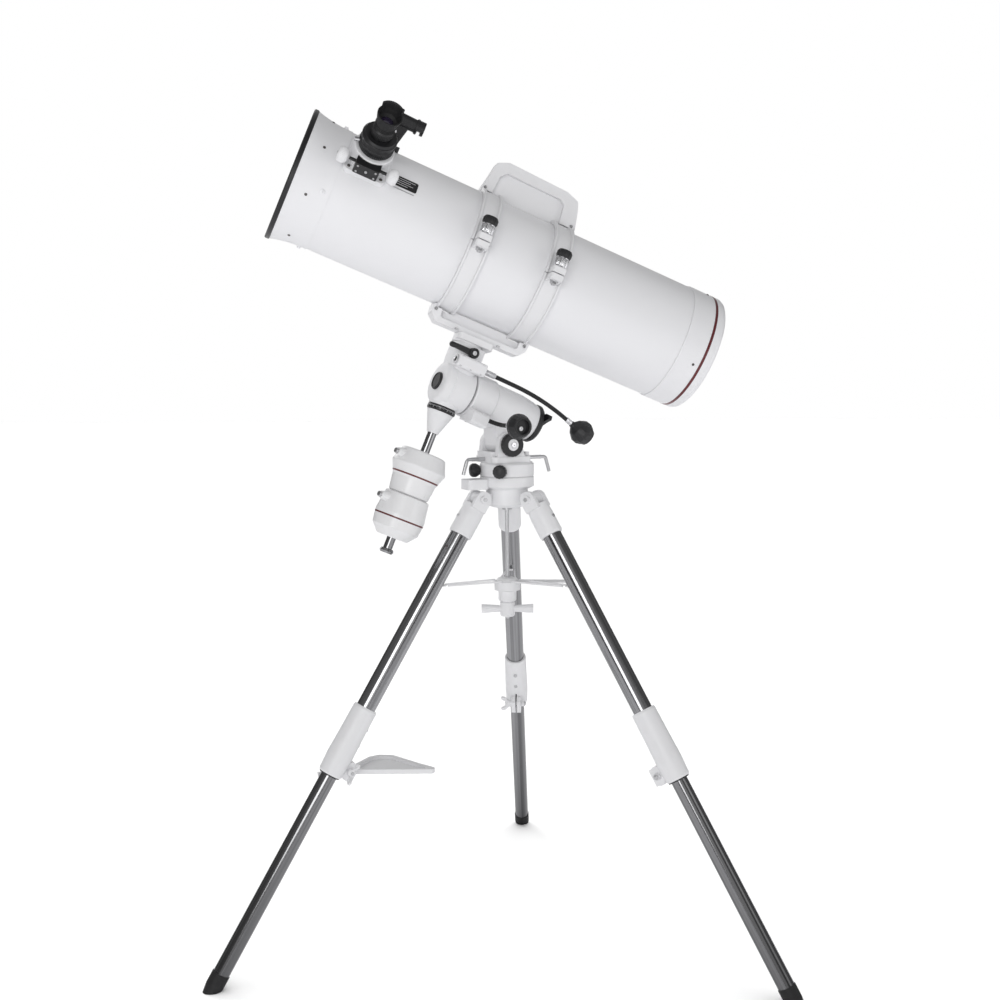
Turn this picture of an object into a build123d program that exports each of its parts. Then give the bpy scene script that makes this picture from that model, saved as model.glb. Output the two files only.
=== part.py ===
from build123d import *
import os
from math import sin, cos, tan, radians, degrees, atan2, hypot

os.makedirs("parts", exist_ok=True)

# ------------------------------------------------------------------ driving dimensions (mm, degrees)
AXIS_X, AXIS_Y = 17.0, -137.0     # tripod's vertical axis, so that the whole telescope stands centred on the origin

TUBE_R = 116.0                    # optical tube, outside radius
TUBE_WALL = 1.5
TUBE_FRONT, TUBE_REAR = -414.0, 396.0
MOUTH_R, MOUTH_END = 110.0, -404.0  # bore of the front ring, and where its inner sleeve ends
CELL_END = 448.0
MIRROR_R = 101.5                  # 203 mm primary mirror
FOCUSER_S = -308.0                # focuser's place along the tube
FOCUSER_A = 60.0                  # and around it, from the saddle's normal
RING_1, RING_2 = -66.0, 86.0      # cradle rings' places along the tube
RING_W = 38.0
DEC_TO_TUBE = 253.0               # polar axis to tube axis, along the declination axis

LATITUDE = 22.7                   # polar axis above the horizon
POLE_DIR = 208.1                  # polar axis's compass direction, from +X
HOUR = -2.8                       # turn of the declination axis about the polar axis
TUBE_TURN = -14.0                 # turn of the tube about the declination axis
AXES_H = 1060.7                   # where the polar axis crosses the tripod's axis
AXES_L = 133.8                    # from there to where the two axes cross

PIVOT_H, PIVOT_R = 890.3, 61.5    # leg pivots
FOOT_R = 618.3
LEG_ANGLES = (206.8, 326.8, 86.8)
LEG_NAMES = ("front_left", "front_right", "rear")
UPPER_R, LOWER_R = 19.0, 16.0     # 38 mm and 32 mm leg tubes
COLLAR_A, COLLAR_B = 462.0, 604.0
LEG_LEN = hypot(PIVOT_H, FOOT_R - PIVOT_R)
LAT_X, LAT_H = -14.0, 998.0       # latitude pivot


# ------------------------------------------------------------------ frames
def at(pl, x, y, z):
    return pl.origin + pl.x_dir * x + pl.y_dir * y + pl.z_dir * z


def way(pl, x, y, z):
    return pl.x_dir * x + pl.y_dir * y + pl.z_dir * z


def sub(pl, o, zd=(0, 0, 1), xd=(1, 0, 0)):
    return Plane(origin=at(pl, *o), x_dir=way(pl, *xd), z_dir=way(pl, *zd))


def side(pl):
    """The plane that holds a frame's x and z: a turned profile is drawn in it as (radius, height)."""
    return Plane(origin=pl.origin, x_dir=pl.x_dir, z_dir=-pl.y_dir)


def spin(pl):
    return Axis(pl.origin, pl.z_dir)


lat, pole = radians(LATITUDE), radians(POLE_DIR)
BASE = Plane(origin=(AXIS_X, AXIS_Y, 0))
p_dir = Vector(cos(lat) * cos(pole), cos(lat) * sin(pole), sin(lat))
d_mer = Vector(-sin(lat) * cos(pole), -sin(lat) * sin(pole), cos(lat))
cross_pt = Vector(AXIS_X, AXIS_Y, AXES_H) + p_dir * AXES_L
d_dir = d_mer.rotate(Axis((0, 0, 0), p_dir), HOUR)
front_dir = p_dir.rotate(Axis((0, 0, 0), d_dir), TUBE_TURN)
MER = Plane(origin=(AXIS_X, AXIS_Y, 0), x_dir=(-cos(pole), -sin(pole), 0), z_dir=(0, 0, 1))
RA = Plane(origin=cross_pt, x_dir=d_mer, z_dir=p_dir * -1)          # x up, z down the polar axis
DEC = Plane(origin=cross_pt, x_dir=p_dir * -1, z_dir=d_dir)         # x down the polar axis, z up to the tube
TUBE = Plane(origin=cross_pt + d_dir * DEC_TO_TUBE, x_dir=d_dir, z_dir=front_dir * -1)  # z to the rear
fa = radians(FOCUSER_A)
FOC = sub(TUBE, (0, 0, FOCUSER_S), zd=(cos(fa), sin(fa), 0), xd=(0, 0, 1))  # x to the rear, z outwards


def leg_frame(angle):
    a = radians(angle)
    out = Vector(cos(a), sin(a), 0)
    tan_dir = Vector(-sin(a), cos(a), 0)
    pivot = Vector(AXIS_X, AXIS_Y, PIVOT_H) + out * PIVOT_R
    foot = Vector(AXIS_X, AXIS_Y, 0) + out * FOOT_R
    return Plane(origin=pivot, x_dir=tan_dir, z_dir=(foot - pivot).normalized())


LEGS = [leg_frame(a) for a in LEG_ANGLES]


def save(builder, label):
    builder.part.label = label
    export_step(builder.part, f"parts/{label}.step")


C3 = (Align.CENTER, Align.CENTER, Align.CENTER)
CM = (Align.CENTER, Align.CENTER, Align.MIN)

# ================================================================== tripod
HUB_TOP = 934.0
with BuildPart() as hub:
    with BuildSketch(side(BASE)):
        with BuildLine():
            Polyline((6.2, 872), (30, 872), (42, 878), (42, 908), (54, 914), (54, HUB_TOP - 2), (52, HUB_TOP),
                     (14.3, HUB_TOP), (14.3, HUB_TOP - 22), (6.2, HUB_TOP - 22), close=True)
        make_face()
    revolve(axis=spin(BASE))
    for f in LEGS:
        out = Plane(origin=f.origin, x_dir=Vector(f.origin.X - AXIS_X, f.origin.Y - AXIS_Y, 0).normalized(), z_dir=f.x_dir)
        with BuildSketch(out.offset(-13)):
            Circle(14)
            with Locations((-13, 2)):
                Rectangle(26, 24)
        extrude(amount=26)
        with Locations(out):
            Cylinder(5.1, 60, mode=Mode.SUBTRACT)
    # boss that carries the azimuth stop, under the polar side
    with BuildSketch(sub(MER, (-72, 0, 910))):
        RectangleRounded(44, 40, 6)
    extrude(amount=20)
save(hub, "tripod_hub")

# centre rod, and the three bolts that the legs hang on
with BuildPart() as rod:
    with BuildSketch(side(BASE)):
        with BuildLine():
            Polyline((0, 645), (3.6, 645), (4, 646), (4, 866), (10, 866), (10, 871.9), (6.1, 871.9), (6.1, 908), (0, 908), close=True)
        make_face()
    revolve(axis=spin(BASE))
    for f in LEGS:
        ax = sub(f, (0, 0, 0), zd=(1, 0, 0), xd=(0, 0, 1))
        with BuildSketch(side(ax)):
            with BuildLine():
                Polyline((0, -28.5), (8, -28.5), (8, -23.4), (5, -23.4), (5, 23.4), (8, 23.4), (8, 28.5), (0, 28.5), close=True)
            make_face()
        revolve(axis=spin(ax))
save(rod, "hub_rod_and_bolts")

for f, nm in zip(LEGS, LEG_NAMES):
    ax = sub(f, (0, 0, 0), zd=(1, 0, 0), xd=(0, 0, 1))
    ears = sub(f, (0, -31, 583), zd=(1, 0, 0), xd=(0, 0, 1))
    # white castings of one leg: the head, with two cheeks around the hub's ear and a socket for the tube,
    # and the collar, a socket on the upper tube with a split clamp on the lower one
    with BuildPart() as head:
        with BuildSketch(side(f)):
            with BuildLine():
                Polyline((UPPER_R, 82), (22.2, 82), (23.4, 78), (23.4, 40), (22, 17), (0, 17), (0, 27.9), (UPPER_R, 27.9), close=True)
            make_face()
        revolve(axis=spin(f))
        for sgn in (1, -1):
            with BuildSketch(ax.offset(13.4 if sgn > 0 else -23.0)):
                Circle(16)
                with Locations((12, 0)):
                    Rectangle(24, 32)
            extrude(amount=9.6)
        with Locations(f.offset(27.9)):
            Cylinder(UPPER_R, 60, align=CM, mode=Mode.SUBTRACT)
        with Locations(ax):
            Cylinder(5.3, 60, mode=Mode.SUBTRACT)
        with BuildSketch(side(f)):
            with BuildLine():
                Polyline((UPPER_R, COLLAR_A), (22.5, COLLAR_A), (24, COLLAR_A + 4), (24.5, 520), (25.5, 566), (24, 600), (22, COLLAR_B),
                         (LOWER_R + 0.3, COLLAR_B), (LOWER_R + 0.3, 558.1), (UPPER_R, 558.1), close=True)
            make_face()
        revolve(axis=spin(f))
        with BuildSketch(ears.offset(-11)):
            SlotOverall(38, 24)
            with Locations((0, 8)):
                Rectangle(34, 10)
        extrude(amount=22)
        with Locations(f.offset(558.1)):
            Cylinder(LOWER_R + 0.3, 60, align=CM, mode=Mode.SUBTRACT)
        with Locations(sub(f, (0, -30, 583))):
            Box(3, 32, 50, mode=Mode.SUBTRACT)
        with Locations(ears):
            Cylinder(4.3, 60, mode=Mode.SUBTRACT)
    save(head, f"leg_castings_{nm}")

    with BuildPart() as upper:
        with BuildSketch(f.offset(28)):
            Circle(UPPER_R)
            Circle(UPPER_R - 1.6, mode=Mode.SUBTRACT)
        extrude(amount=530)
    save(upper, f"upper_tube_{nm}")

    # wing bolt through the collar's ears, with its two wings
    with BuildPart() as wing:
        with BuildSketch(side(ears)):
            with BuildLine():
                Polyline((0, -18), (6.5, -18), (6.5, -11.6), (4, -11.6), (4, 11.6), (7.5, 11.6), (7.5, 22), (5, 24), (0, 24), close=True)
            make_face()
        revolve(axis=spin(ears))
        with BuildSketch(side(ears).offset(-2.5)):
            with BuildLine():
                l1 = Polyline((-5, 14), (-19.5, 25.5), (-21.5, 33), (-16, 35), (-5, 21), close=True)
            make_face()
            with BuildLine():
                Polyline((5, 14), (19.5, 25.5), (21.5, 33), (16, 35), (5, 21), close=True)
            make_face()
        extrude(amount=5)
    save(wing, f"leg_wing_bolt_{nm}")

    # inner leg tube, and its rubber foot cut flat on the floor
    with BuildPart() as lower:
        with BuildSketch(side(f)):
            with BuildLine():
                Polyline((0, LEG_LEN - 60), (LOWER_R - 1.6, LEG_LEN - 60), (LOWER_R - 1.6, LEG_LEN - 34.9), (LOWER_R + 1.4, LEG_LEN - 34.9),
                         (LOWER_R + 1.4, LEG_LEN - 10), (LOWER_R - 2, LEG_LEN + 12), (0, LEG_LEN + 12), close=True)
            make_face()
        revolve(axis=spin(f))
        split(bisect_by=Plane(origin=(0, 0, 0)), keep=Keep.TOP)
        with BuildSketch(f.offset(340)):
            Circle(LOWER_R)
            Circle(LOWER_R - 1.5, mode=Mode.SUBTRACT)
        extrude(amount=LEG_LEN - 340 - 35)
    save(lower, f"lower_leg_{nm}")

# petal-shaped accessory tray on a short arm from the front left collar
fl = LEGS[0]
TRAY_Z = 366.0
ta = radians(LEG_ANGLES[0])
leg_r = PIVOT_R + (PIVOT_H - TRAY_Z) * (FOOT_R - PIVOT_R) / PIVOT_H
TRAY = Plane(origin=(AXIS_X + leg_r * cos(ta), AXIS_Y + leg_r * sin(ta), TRAY_Z), x_dir=(-cos(ta), -sin(ta), 0), z_dir=(0, 0, 1))
with BuildPart() as tray:
    with BuildSketch(TRAY) as leaf:
        with BuildLine():
            Polyline((62, 12), (80, 4), (198, -54), (207, -46), (191, -8), (165, 68), (141, 84), (118, 80), (62, 36), close=True)
        make_face()
        fillet(leaf.vertices(), 3.5)
    extrude(amount=9)
    with BuildSketch(TRAY.offset(3)) as well:
        with BuildLine():
            Polyline((76, 15), (86, 10), (192, -42), (182, -10), (158, 62), (139, 74), (121, 71), (76, 34), close=True)
        make_face()
        fillet(well.vertices(), 3)
    extrude(amount=8, mode=Mode.SUBTRACT)
    # arm alongside the collar's ears
    with BuildSketch(TRAY):
        with Locations((32, 26)):
            Rectangle(76, 13)
    extrude(amount=9)
    with Locations(fl.offset(440)):
        Cylinder(25.6, 200, align=CM, mode=Mode.SUBTRACT)
save(tray, "accessory_tray")

# three-armed spreader on the centre rod, with its flange and stub
with BuildPart() as spreader:
    with BuildSketch(BASE.offset(718.5)):
        Circle(26)
        for a in LEG_ANGLES:
            with Locations(Location((0, 0, 0), (0, 0, a))):
                with BuildLine():
                    Polyline((0, -20), (60, -14), (139, -12), (143.5, -6), (143.5, 6), (139, 12), (60, 14), (0, 20), close=True)
                make_face()
    extrude(amount=3)
    with BuildSketch(side(BASE)):
        with BuildLine():
            Polyline((4.3, 681), (16, 681), (18, 684), (18, 702), (26, 704), (26, 718.5), (4.3, 718.5), close=True)
        make_face()
    revolve(axis=spin(BASE))
    with Locations(BASE.offset(670)):
        Cylinder(4.3, 80, align=CM, mode=Mode.SUBTRACT)
save(spreader, "spreader_plate")

with BuildPart() as nut:
    with BuildSketch(side(BASE)):
        with BuildLine():
            Polyline((4.3, 650), (13, 650), (15, 653), (15, 678), (12, 680.4), (4.3, 680.4), close=True)
        make_face()
    revolve(axis=spin(BASE))
    for s in (1, -1):
        with BuildSketch(sub(BASE, (s * 10, 0, 665), zd=(s, 0, 0), xd=(0, 1, 0))):
            SlotOverall(16, 12)
        with BuildSketch(sub(BASE, (s * 52, 0, 665), zd=(s, 0, 0), xd=(0, 1, 0))):
            SlotOverall(20, 18)
        loft()
    with Locations(BASE.offset(640)):
        Cylinder(4.3, 50, align=CM, mode=Mode.SUBTRACT)
save(nut, "spreader_nut")

# ================================================================== mount base: turns on the hub
with BuildPart() as azb:
    with BuildSketch(side(MER)):
        with BuildLine():
            Polyline((0, HUB_TOP + 0.4), (53, HUB_TOP + 0.4), (54, HUB_TOP + 2), (54, 958), (50, 962), (0, 962), close=True)
        make_face()
    revolve(axis=spin(MER))
    with Locations(MER.offset(HUB_TOP - 21)):
        Cylinder(14, 30, align=CM)
    # fork: two cheeks on a foot
    with BuildSketch(MER.offset(962)):
        with Locations((-8, 0)):
            RectangleRounded(84, 86, 10)
    extrude(amount=12)
    for s in (1, -1):
        with BuildSketch(sub(MER, (LAT_X, 28 if s > 0 else -42, LAT_H), zd=(0, 1, 0), xd=(1, 0, 0))):
            Circle(25)
            with BuildLine():
                Polyline((-25, 0), (25, 0), (36, 36), (-30, 36), close=True)
            make_face()
        extrude(amount=14)
    with Locations(sub(MER, (LAT_X, 0, LAT_H), zd=(0, 1, 0))):
        Cylinder(6.3, 120, mode=Mode.SUBTRACT)
    # walls that carry the two latitude bolts
    for xx in (-46, 30):
        with BuildSketch(MER.offset(962)):
            with Locations((xx, 0)):
                Rectangle(9, 60)
        extrude(amount=20 if xx > 0 else 22)
    with Locations(sub(MER, (0, 0, 969), zd=(1, 0, 0), xd=(0, 1, 0))):
        Cylinder(4.3, 160, mode=Mode.SUBTRACT)
    # threaded bosses of the two azimuth knobs
    for a in (258.0, 192.0):
        q = sub(BASE, (0, 0, 946), zd=(cos(radians(a)), sin(radians(a)), 0), xd=(0, 0, 1))
        with Locations(q.offset(40)):
            Cylinder(4.4, 40, align=CM, mode=Mode.SUBTRACT)
    with Locations(sub(MER, (0, 0, 969))):
        Box(40, 50, 14.01, align=(Align.CENTER, Align.CENTER, Align.MIN), mode=Mode.SUBTRACT)
save(azb, "azimuth_base")

for a, nm in ((258.0, "front"), (192.0, "side")):
    q = sub(BASE, (0, 0, 946), zd=(cos(radians(a)), sin(radians(a)), 0), xd=(0, 0, 1))
    with BuildPart() as ak:
        with BuildSketch(side(q)):
            with BuildLine():
                Polyline((0, 42), (4, 42), (4, 55.5), (9, 55.5), (12.8, 61), (12.8, 72), (10, 75), (0, 75), close=True)
            make_face()
        revolve(axis=spin(q))
    save(ak, f"azimuth_knob_{nm}")

for s, nm in ((-1, "north"), (1, "south")):
    q = sub(MER, (0, 0, 969), zd=(s, 0, 0), xd=(0, 0, 1))
    x0 = 22.0 if s > 0 else 24.0
    with BuildPart() as lb:
        with BuildSketch(side(q)):
            with BuildLine():
                Polyline((0, x0 + 2), (2.5, x0), (4, x0 + 3), (4, 78), (0, 78), close=True)
            make_face()
        revolve(axis=spin(q))
        with BuildLine() as bent:
            FilletPolyline(at(q, 0, 0, 78 - 0.5), at(q, 0, 0, 88), at(q, -30, 0, 97), radius=6)
        with BuildSketch(Plane(origin=bent.line @ 0, z_dir=bent.line % 0)):
            Circle(3.4)
        sweep(path=bent.line)
    save(lb, f"latitude_bolt_{nm}")

# altitude lock: bolt through the fork with a round cap
q = sub(MER, (LAT_X, 0, LAT_H), zd=(0, -1, 0), xd=(1, 0, 0))
with BuildPart() as lock:
    with BuildSketch(side(q)):
        with BuildLine():
            Polyline((0, -49), (12, -49), (12, -42.5), (6, -42.5), (6, 42.5), (21, 42.5), (23, 45), (23, 53), (21, 55), (12, 55), (12, 51), (0, 51), close=True)
        make_face()
    revolve(axis=spin(q))
save(lock, "altitude_lock")

# ================================================================== polar (right ascension) body
with BuildPart() as rah:
    with BuildSketch(side(RA)):
        with BuildLine():
            Polyline((0, 37.4), (44, 37.4), (46, 40), (46, 84), (44, 86.5), (43, 88), (43, 150), (40, 176), (37, 189.6), (0, 189.6), close=True)
        make_face()
    revolve(axis=spin(RA))
    # tongue down to the latitude pivot
    with BuildSketch(sub(MER, (LAT_X, -27.6, LAT_H), zd=(0, 1, 0), xd=(1, 0, 0))):
        Circle(21)
        with BuildLine():
            Polyline((-26, -62), (36, -36), (21, 3), (-21, 3), close=True)
        make_face()
    extrude(amount=55.2)
    # polar axle's bore
    with Locations(RA.offset(30)):
        Cylinder(17.3, 165, align=CM, mode=Mode.SUBTRACT)
    with Locations(sub(MER, (LAT_X, 0, LAT_H), zd=(0, 1, 0))):
        Cylinder(6.3, 120, mode=Mode.SUBTRACT)
    # worm housing low on the near side
    with BuildSketch(sub(RA, (-44, 45, 38))):
        RectangleRounded(26, 30, 6)
    extrude(amount=36)
    with BuildSketch(sub(RA, (-40, 25, 38))):
        Rectangle(24, 34)
    extrude(amount=36)
    with Locations(RA.offset(30)):
        Cylinder(17.3, 165, align=CM, mode=Mode.SUBTRACT)
    with Locations(sub(RA, (-38, 45, 45))):
        Cylinder(4.2, 40, align=CM, mode=Mode.SUBTRACT)
    # end ring
    with BuildSketch(side(RA)):
        with BuildLine():
            Polyline((17.3, 189.9), (38, 189.9), (39, 192), (39, 198), (36, 202), (17.3, 202), close=True)
        make_face()
    revolve(axis=spin(RA))
save(rah, "ra_housing")

# right ascension clutch lever on the back end
RL = sub(RA, (0, 0, 204))
with BuildPart() as rlev:
    with BuildSketch(RL):
        with BuildLine():
            Polyline((10, -8), (20, 12), (25, 30), (22, 44), (14, 46), (9, 34), (2, 20), (-10, 8), close=True)
        make_face()
        Circle(13)
    extrude(amount=7)
    with Locations(RL.offset(-9)):
        Cylinder(9.5, 10, align=CM)
save(rlev, "ra_clutch_lever")

# RA worm shaft, flexible cable and knob
rc = sub(RA, (-38, 45, 0))
with BuildPart() as rcab:
    with BuildSketch(side(rc)):
        with BuildLine():
            Polyline((0, 46), (4, 46), (4, 74.6), (3.2, 76), (3.2, 80), (0, 80), close=True)
        make_face()
    revolve(axis=spin(rc))
    with BuildLine() as rl:
        FilletPolyline(at(rc, 0, 0, 80.2), at(rc, 0, 0, 104), at(rc, 0, 52, 104), radius=22)
    with BuildSketch(Plane(origin=rl.line @ 0, z_dir=rl.line % 0)):
        Circle(4.2)
    sweep(path=rl.line)
save(rcab, "ra_cable")
RK = sub(rc, (0, 52.4, 104), zd=(0, 1, 0), xd=(1, 0, 0))
with BuildPart() as rk:
    with BuildSketch(side(RK)):
        with BuildLine():
            Polyline((0, 0), (6, 0), (7, 4), (18, 14), (24, 26), (24, 34), (18, 47), (16, 47), (14, 40), (0, 40), close=True)
        make_face()
    revolve(axis=spin(RK))
save(rk, "ra_slow_knob")

# ================================================================== declination body
with BuildPart() as deh:
    with BuildSketch(sub(DEC, (33.4, 0, 0), zd=(-1, 0, 0), xd=(0, 1, 0))):
        Circle(43)
    extrude(amount=62)
    fillet(deh.edges().filter_by(GeomType.CIRCLE).sort_by(Axis(DEC.origin, DEC.x_dir))[0], 9)
    with BuildSketch(DEC.offset(-42.6)):
        Circle(28.3)
    extrude(amount=40)
    with BuildSketch(DEC.offset(2)):
        with Locations((4, 0)):
            RectangleRounded(58, 60, 26)
    with BuildSketch(DEC.offset(50)):
        with Locations((5, 0)):
            RectangleRounded(62, 64, 20)
    loft()
    with BuildSketch(DEC.offset(50)):
        with Locations((5, 0)):
            RectangleRounded(62, 64, 20)
    extrude(amount=35)
    # worm housing on the near side
    with BuildSketch(sub(DEC, (-28, -42, 48), zd=(1, 0, 0), xd=(0, 1, 0))):
        RectangleRounded(28, 24, 6)
    extrude(amount=62)
    with Locations(DEC.offset(-60)):
        Cylinder(13.3, 200, align=CM, mode=Mode.SUBTRACT)
    with Locations(sub(DEC, (-14, -42, 48), zd=(1, 0, 0), xd=(0, 1, 0))):
        Cylinder(4.2, 60, align=CM, mode=Mode.SUBTRACT)
    with Locations(RA.offset(12)):
        Cylinder(17, 40, align=CM, mode=Mode.SUBTRACT)
    with Locations(sub(DEC, (3, -28, 72), zd=(0, -1, 0))):
        Cylinder(5.3, 20, align=CM, mode=Mode.SUBTRACT)
    # screwed-on cone that holds the counterweight shaft
    with BuildSketch(side(DEC)):
        with BuildLine():
            Polyline((0, -97), (11.5, -97), (26.5, -54.2), (12.5, -54.2), (12.5, -43.5), (0, -43.5), close=True)
        make_face()
    revolve(axis=spin(DEC))
save(deh, "dec_housing")

with BuildPart() as circ:
    with BuildSketch(side(DEC)):
        with BuildLine():
            Polyline((13.4, -53.5), (27, -53.5), (28.5, -52), (28.5, -45), (27, -43.2), (13.4, -43.2), close=True)
        make_face()
    revolve(axis=spin(DEC))
save(circ, "dec_setting_circle")

# polar axle, and the cap over its sight hole
with BuildPart() as axle:
    with BuildSketch(sub(DEC, (-28.8, 0, 0), zd=(-1, 0, 0), xd=(0, 1, 0))):
        Circle(17.7)
    extrude(amount=4)
    fillet(axle.edges().filter_by(GeomType.CIRCLE).sort_by(Axis(DEC.origin, DEC.x_dir))[0], 2)
    with BuildSketch(side(RA)):
        with BuildLine():
            Polyline((0, 15), (17, 15), (17, 186), (0, 186), close=True)
        make_face()
    revolve(axis=spin(RA))
save(axle, "ra_axle_and_cap")

# counterweight shaft: the rod, and the end stop screwed against it
with BuildPart() as cws:
    with BuildSketch(side(DEC)):
        with BuildLine():
            Polyline((0, -336), (8.6, -336), (9, -335.6), (9, -97.2), (0, -97.2), close=True)
        make_face()
    revolve(axis=spin(DEC))
    with BuildSketch(side(DEC)):
        with BuildLine():
            Polyline((0, -345), (12, -345), (14, -341), (12, -336.1), (0, -336.1), close=True)
        make_face()
    revolve(axis=spin(DEC))
save(cws, "counterweight_shaft")

WT = -139.0
for nm, top, prof in (
    ("upper", WT, ((40, 0), (44, -2), (54, -29), (54, -31), (44, -56), (40, -86), (37, -88))),
    ("lower", WT - 88.4, ((40, 0), (44, -2), (49.5, -40), (49.5, -46), (46.5, -68), (32, -85), (30, -86))),
):
    base_z = top + prof[-1][1]
    with BuildPart() as w:
        with BuildSketch(side(DEC)):
            with BuildLine():
                Polyline((9.3, top), *[(r, top + z) for r, z in prof], (9.3, base_z), close=True)
            make_face()
        revolve(axis=spin(DEC))
        lk = sub(DEC, (0, 0, top - 16), zd=(-cos(radians(12)), -sin(radians(12)), 0), xd=(0, 0, 1))
        # pointed lug that holds the lock screw
        with BuildSketch(lk.offset(34)):
            Circle(14)
        with BuildSketch(lk.offset(61)):
            Circle(6.6)
        loft()
        with Locations(lk.offset(5)):
            Cylinder(4.3, 60, align=CM, mode=Mode.SUBTRACT)
        with Locations(DEC.offset(-400)):
            Cylinder(9.3, 300, align=CM, mode=Mode.SUBTRACT)
    save(w, f"counterweight_{nm}")
    with BuildPart() as ls:
        with BuildSketch(side(lk)):
            with BuildLine():
                Polyline((0, 9.6), (4, 9.6), (4, 61.3), (5.2, 61.3), (5.2, 65.5), (4.6, 66), (0, 66), close=True)
            make_face()
        revolve(axis=spin(lk))
    save(ls, f"weight_lock_{nm}")

# declination worm, flexible cable and knob
dw = sub(DEC, (0, -42, 48), zd=(1, 0, 0), xd=(0, 0, 1))
CAB_R, CAB_A = 517.0, 14.0
ca = radians(CAB_A)
with BuildPart() as dcab:
    with BuildSketch(side(dw)):
        with BuildLine():
            Polyline((0, -12), (4, -12), (4, 34.4), (5, 35), (5, 62), (0, 62), close=True)
        make_face()
    revolve(axis=spin(dw))
    with BuildLine() as dl:
        Line(at(dw, 0, 0, 62.2), at(dw, 0, 0, 110))
        ThreePointArc(at(dw, 0, 0, 110),
                      at(dw, -CAB_R * (1 - cos(ca / 2)), 0, 110 + CAB_R * sin(ca / 2)),
                      at(dw, -CAB_R * (1 - cos(ca)), 0, 110 + CAB_R * sin(ca)))
        Line(at(dw, -CAB_R * (1 - cos(ca)), 0, 110 + CAB_R * sin(ca)),
             at(dw, -CAB_R * (1 - cos(ca)) - 22 * sin(ca), 0, 110 + CAB_R * sin(ca) + 22 * cos(ca)))
    with BuildSketch(Plane(origin=dl.line @ 0, z_dir=dl.line % 0)):
        Circle(4.2)
    sweep(path=dl.line)
save(dcab, "dec_cable")
ex, ez = -CAB_R * (1 - cos(ca)) - 22.4 * sin(ca), 110 + CAB_R * sin(ca) + 22.4 * cos(ca)
DK = sub(dw, (ex, 0, ez), zd=(-sin(ca), 0, cos(ca)), xd=(cos(ca), 0, sin(ca)))
with BuildPart() as dk:
    with BuildSketch(side(DK)):
        with BuildLine():
            Polyline((0, 0), (6, 0), (7, 5), (17, 14), (24, 27), (24, 34), (17, 50), (0, 50), close=True)
        make_face()
    revolve(axis=spin(DK))
save(dk, "dec_slow_knob")

# declination clutch lever
DL = sub(DEC, (3, 0, 72), zd=(0, -1, 0), xd=(-1, 0, 0))
with BuildPart() as dlev:
    with BuildSketch(DL.offset(33)):
        Circle(8)
        with BuildLine():
            Polyline((0, -5), (40, -4), (48, -2), (48, 4), (40, 5), (0, 6), close=True)
        make_face()
    extrude(amount=9)
    with Locations(DL.offset(29)):
        Cylinder(5, 6, align=CM)
save(dlev, "dec_clutch_lever")

# ================================================================== saddle and cradle: turn about the declination axis
with BuildPart() as saddle:
    with BuildSketch(side(DEC)):
        with BuildLine():
            Polyline((0, -40), (13, -40), (13, 85.5), (30, 85.5), (30, 89.9), (0, 89.9), close=True)
        make_face()
    revolve(axis=spin(DEC))

    with BuildSketch(Plane(origin=at(TUBE, -163, 0, 10), x_dir=TUBE.z_dir, z_dir=TUBE.x_dir)):
        RectangleRounded(74, 64, 10)
    extrude(amount=12.6)
save(saddle, "saddle")

def outline(pts, off, amount, fil, cut=False):
    """A plate drawn in the tube's x-z plane, centred on it."""
    with BuildSketch(side(TUBE).offset(off)) as plate:
        with BuildLine():
            Polyline(*pts, close=True)
        make_face()
        fillet(plate.vertices(), fil)
    extrude(plate.sketch, amount=amount, mode=Mode.SUBTRACT if cut else Mode.ADD)

with BuildPart() as bracket:
    outline(((-117, -92), (-137, -90), (-150, -76), (-150, 98), (-137, 110), (-117, 113)), -19, 38, 5)
    outline(((-100, -74), (-139, -70), (-139, 92), (-100, 95)), -20, 14, 5, cut=True)
    outline(((-100, -74), (-139, -70), (-139, 92), (-100, 95)), 6, 14, 5, cut=True)
    with Locations(TUBE.offset(-200)):
        Cylinder(118.6, 400, align=CM, mode=Mode.SUBTRACT)
    for s0 in (RING_1, RING_2):
        with Locations(TUBE.offset(s0 - RING_W / 2 - 0.05)):
            Cylinder(124.6, RING_W + 0.1, align=CM, mode=Mode.SUBTRACT)
save(bracket, "cradle_bracket")

with BuildPart() as handle:
    outline(((118, -88), (158, -79), (181, -75), (191, -52), (187, 76), (178, 102), (160, 108), (118, 117)), -14, 28, 6)
    outline(((100, -66), (158, -60), (170, -48), (168, 68), (160, 78), (100, 84)), -15, 11, 6, cut=True)
    outline(((100, -66), (158, -60), (170, -48), (168, 68), (160, 78), (100, 84)), 4, 11, 6, cut=True)
    with Locations(TUBE.offset(-200)):
        Cylinder(118.6, 400, align=CM, mode=Mode.SUBTRACT)
    for s0 in (RING_1, RING_2):
        with Locations(TUBE.offset(s0 - RING_W / 2 - 0.05)):
            Cylinder(124.6, RING_W + 0.1, align=CM, mode=Mode.SUBTRACT)
save(handle, "top_handle")

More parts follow.
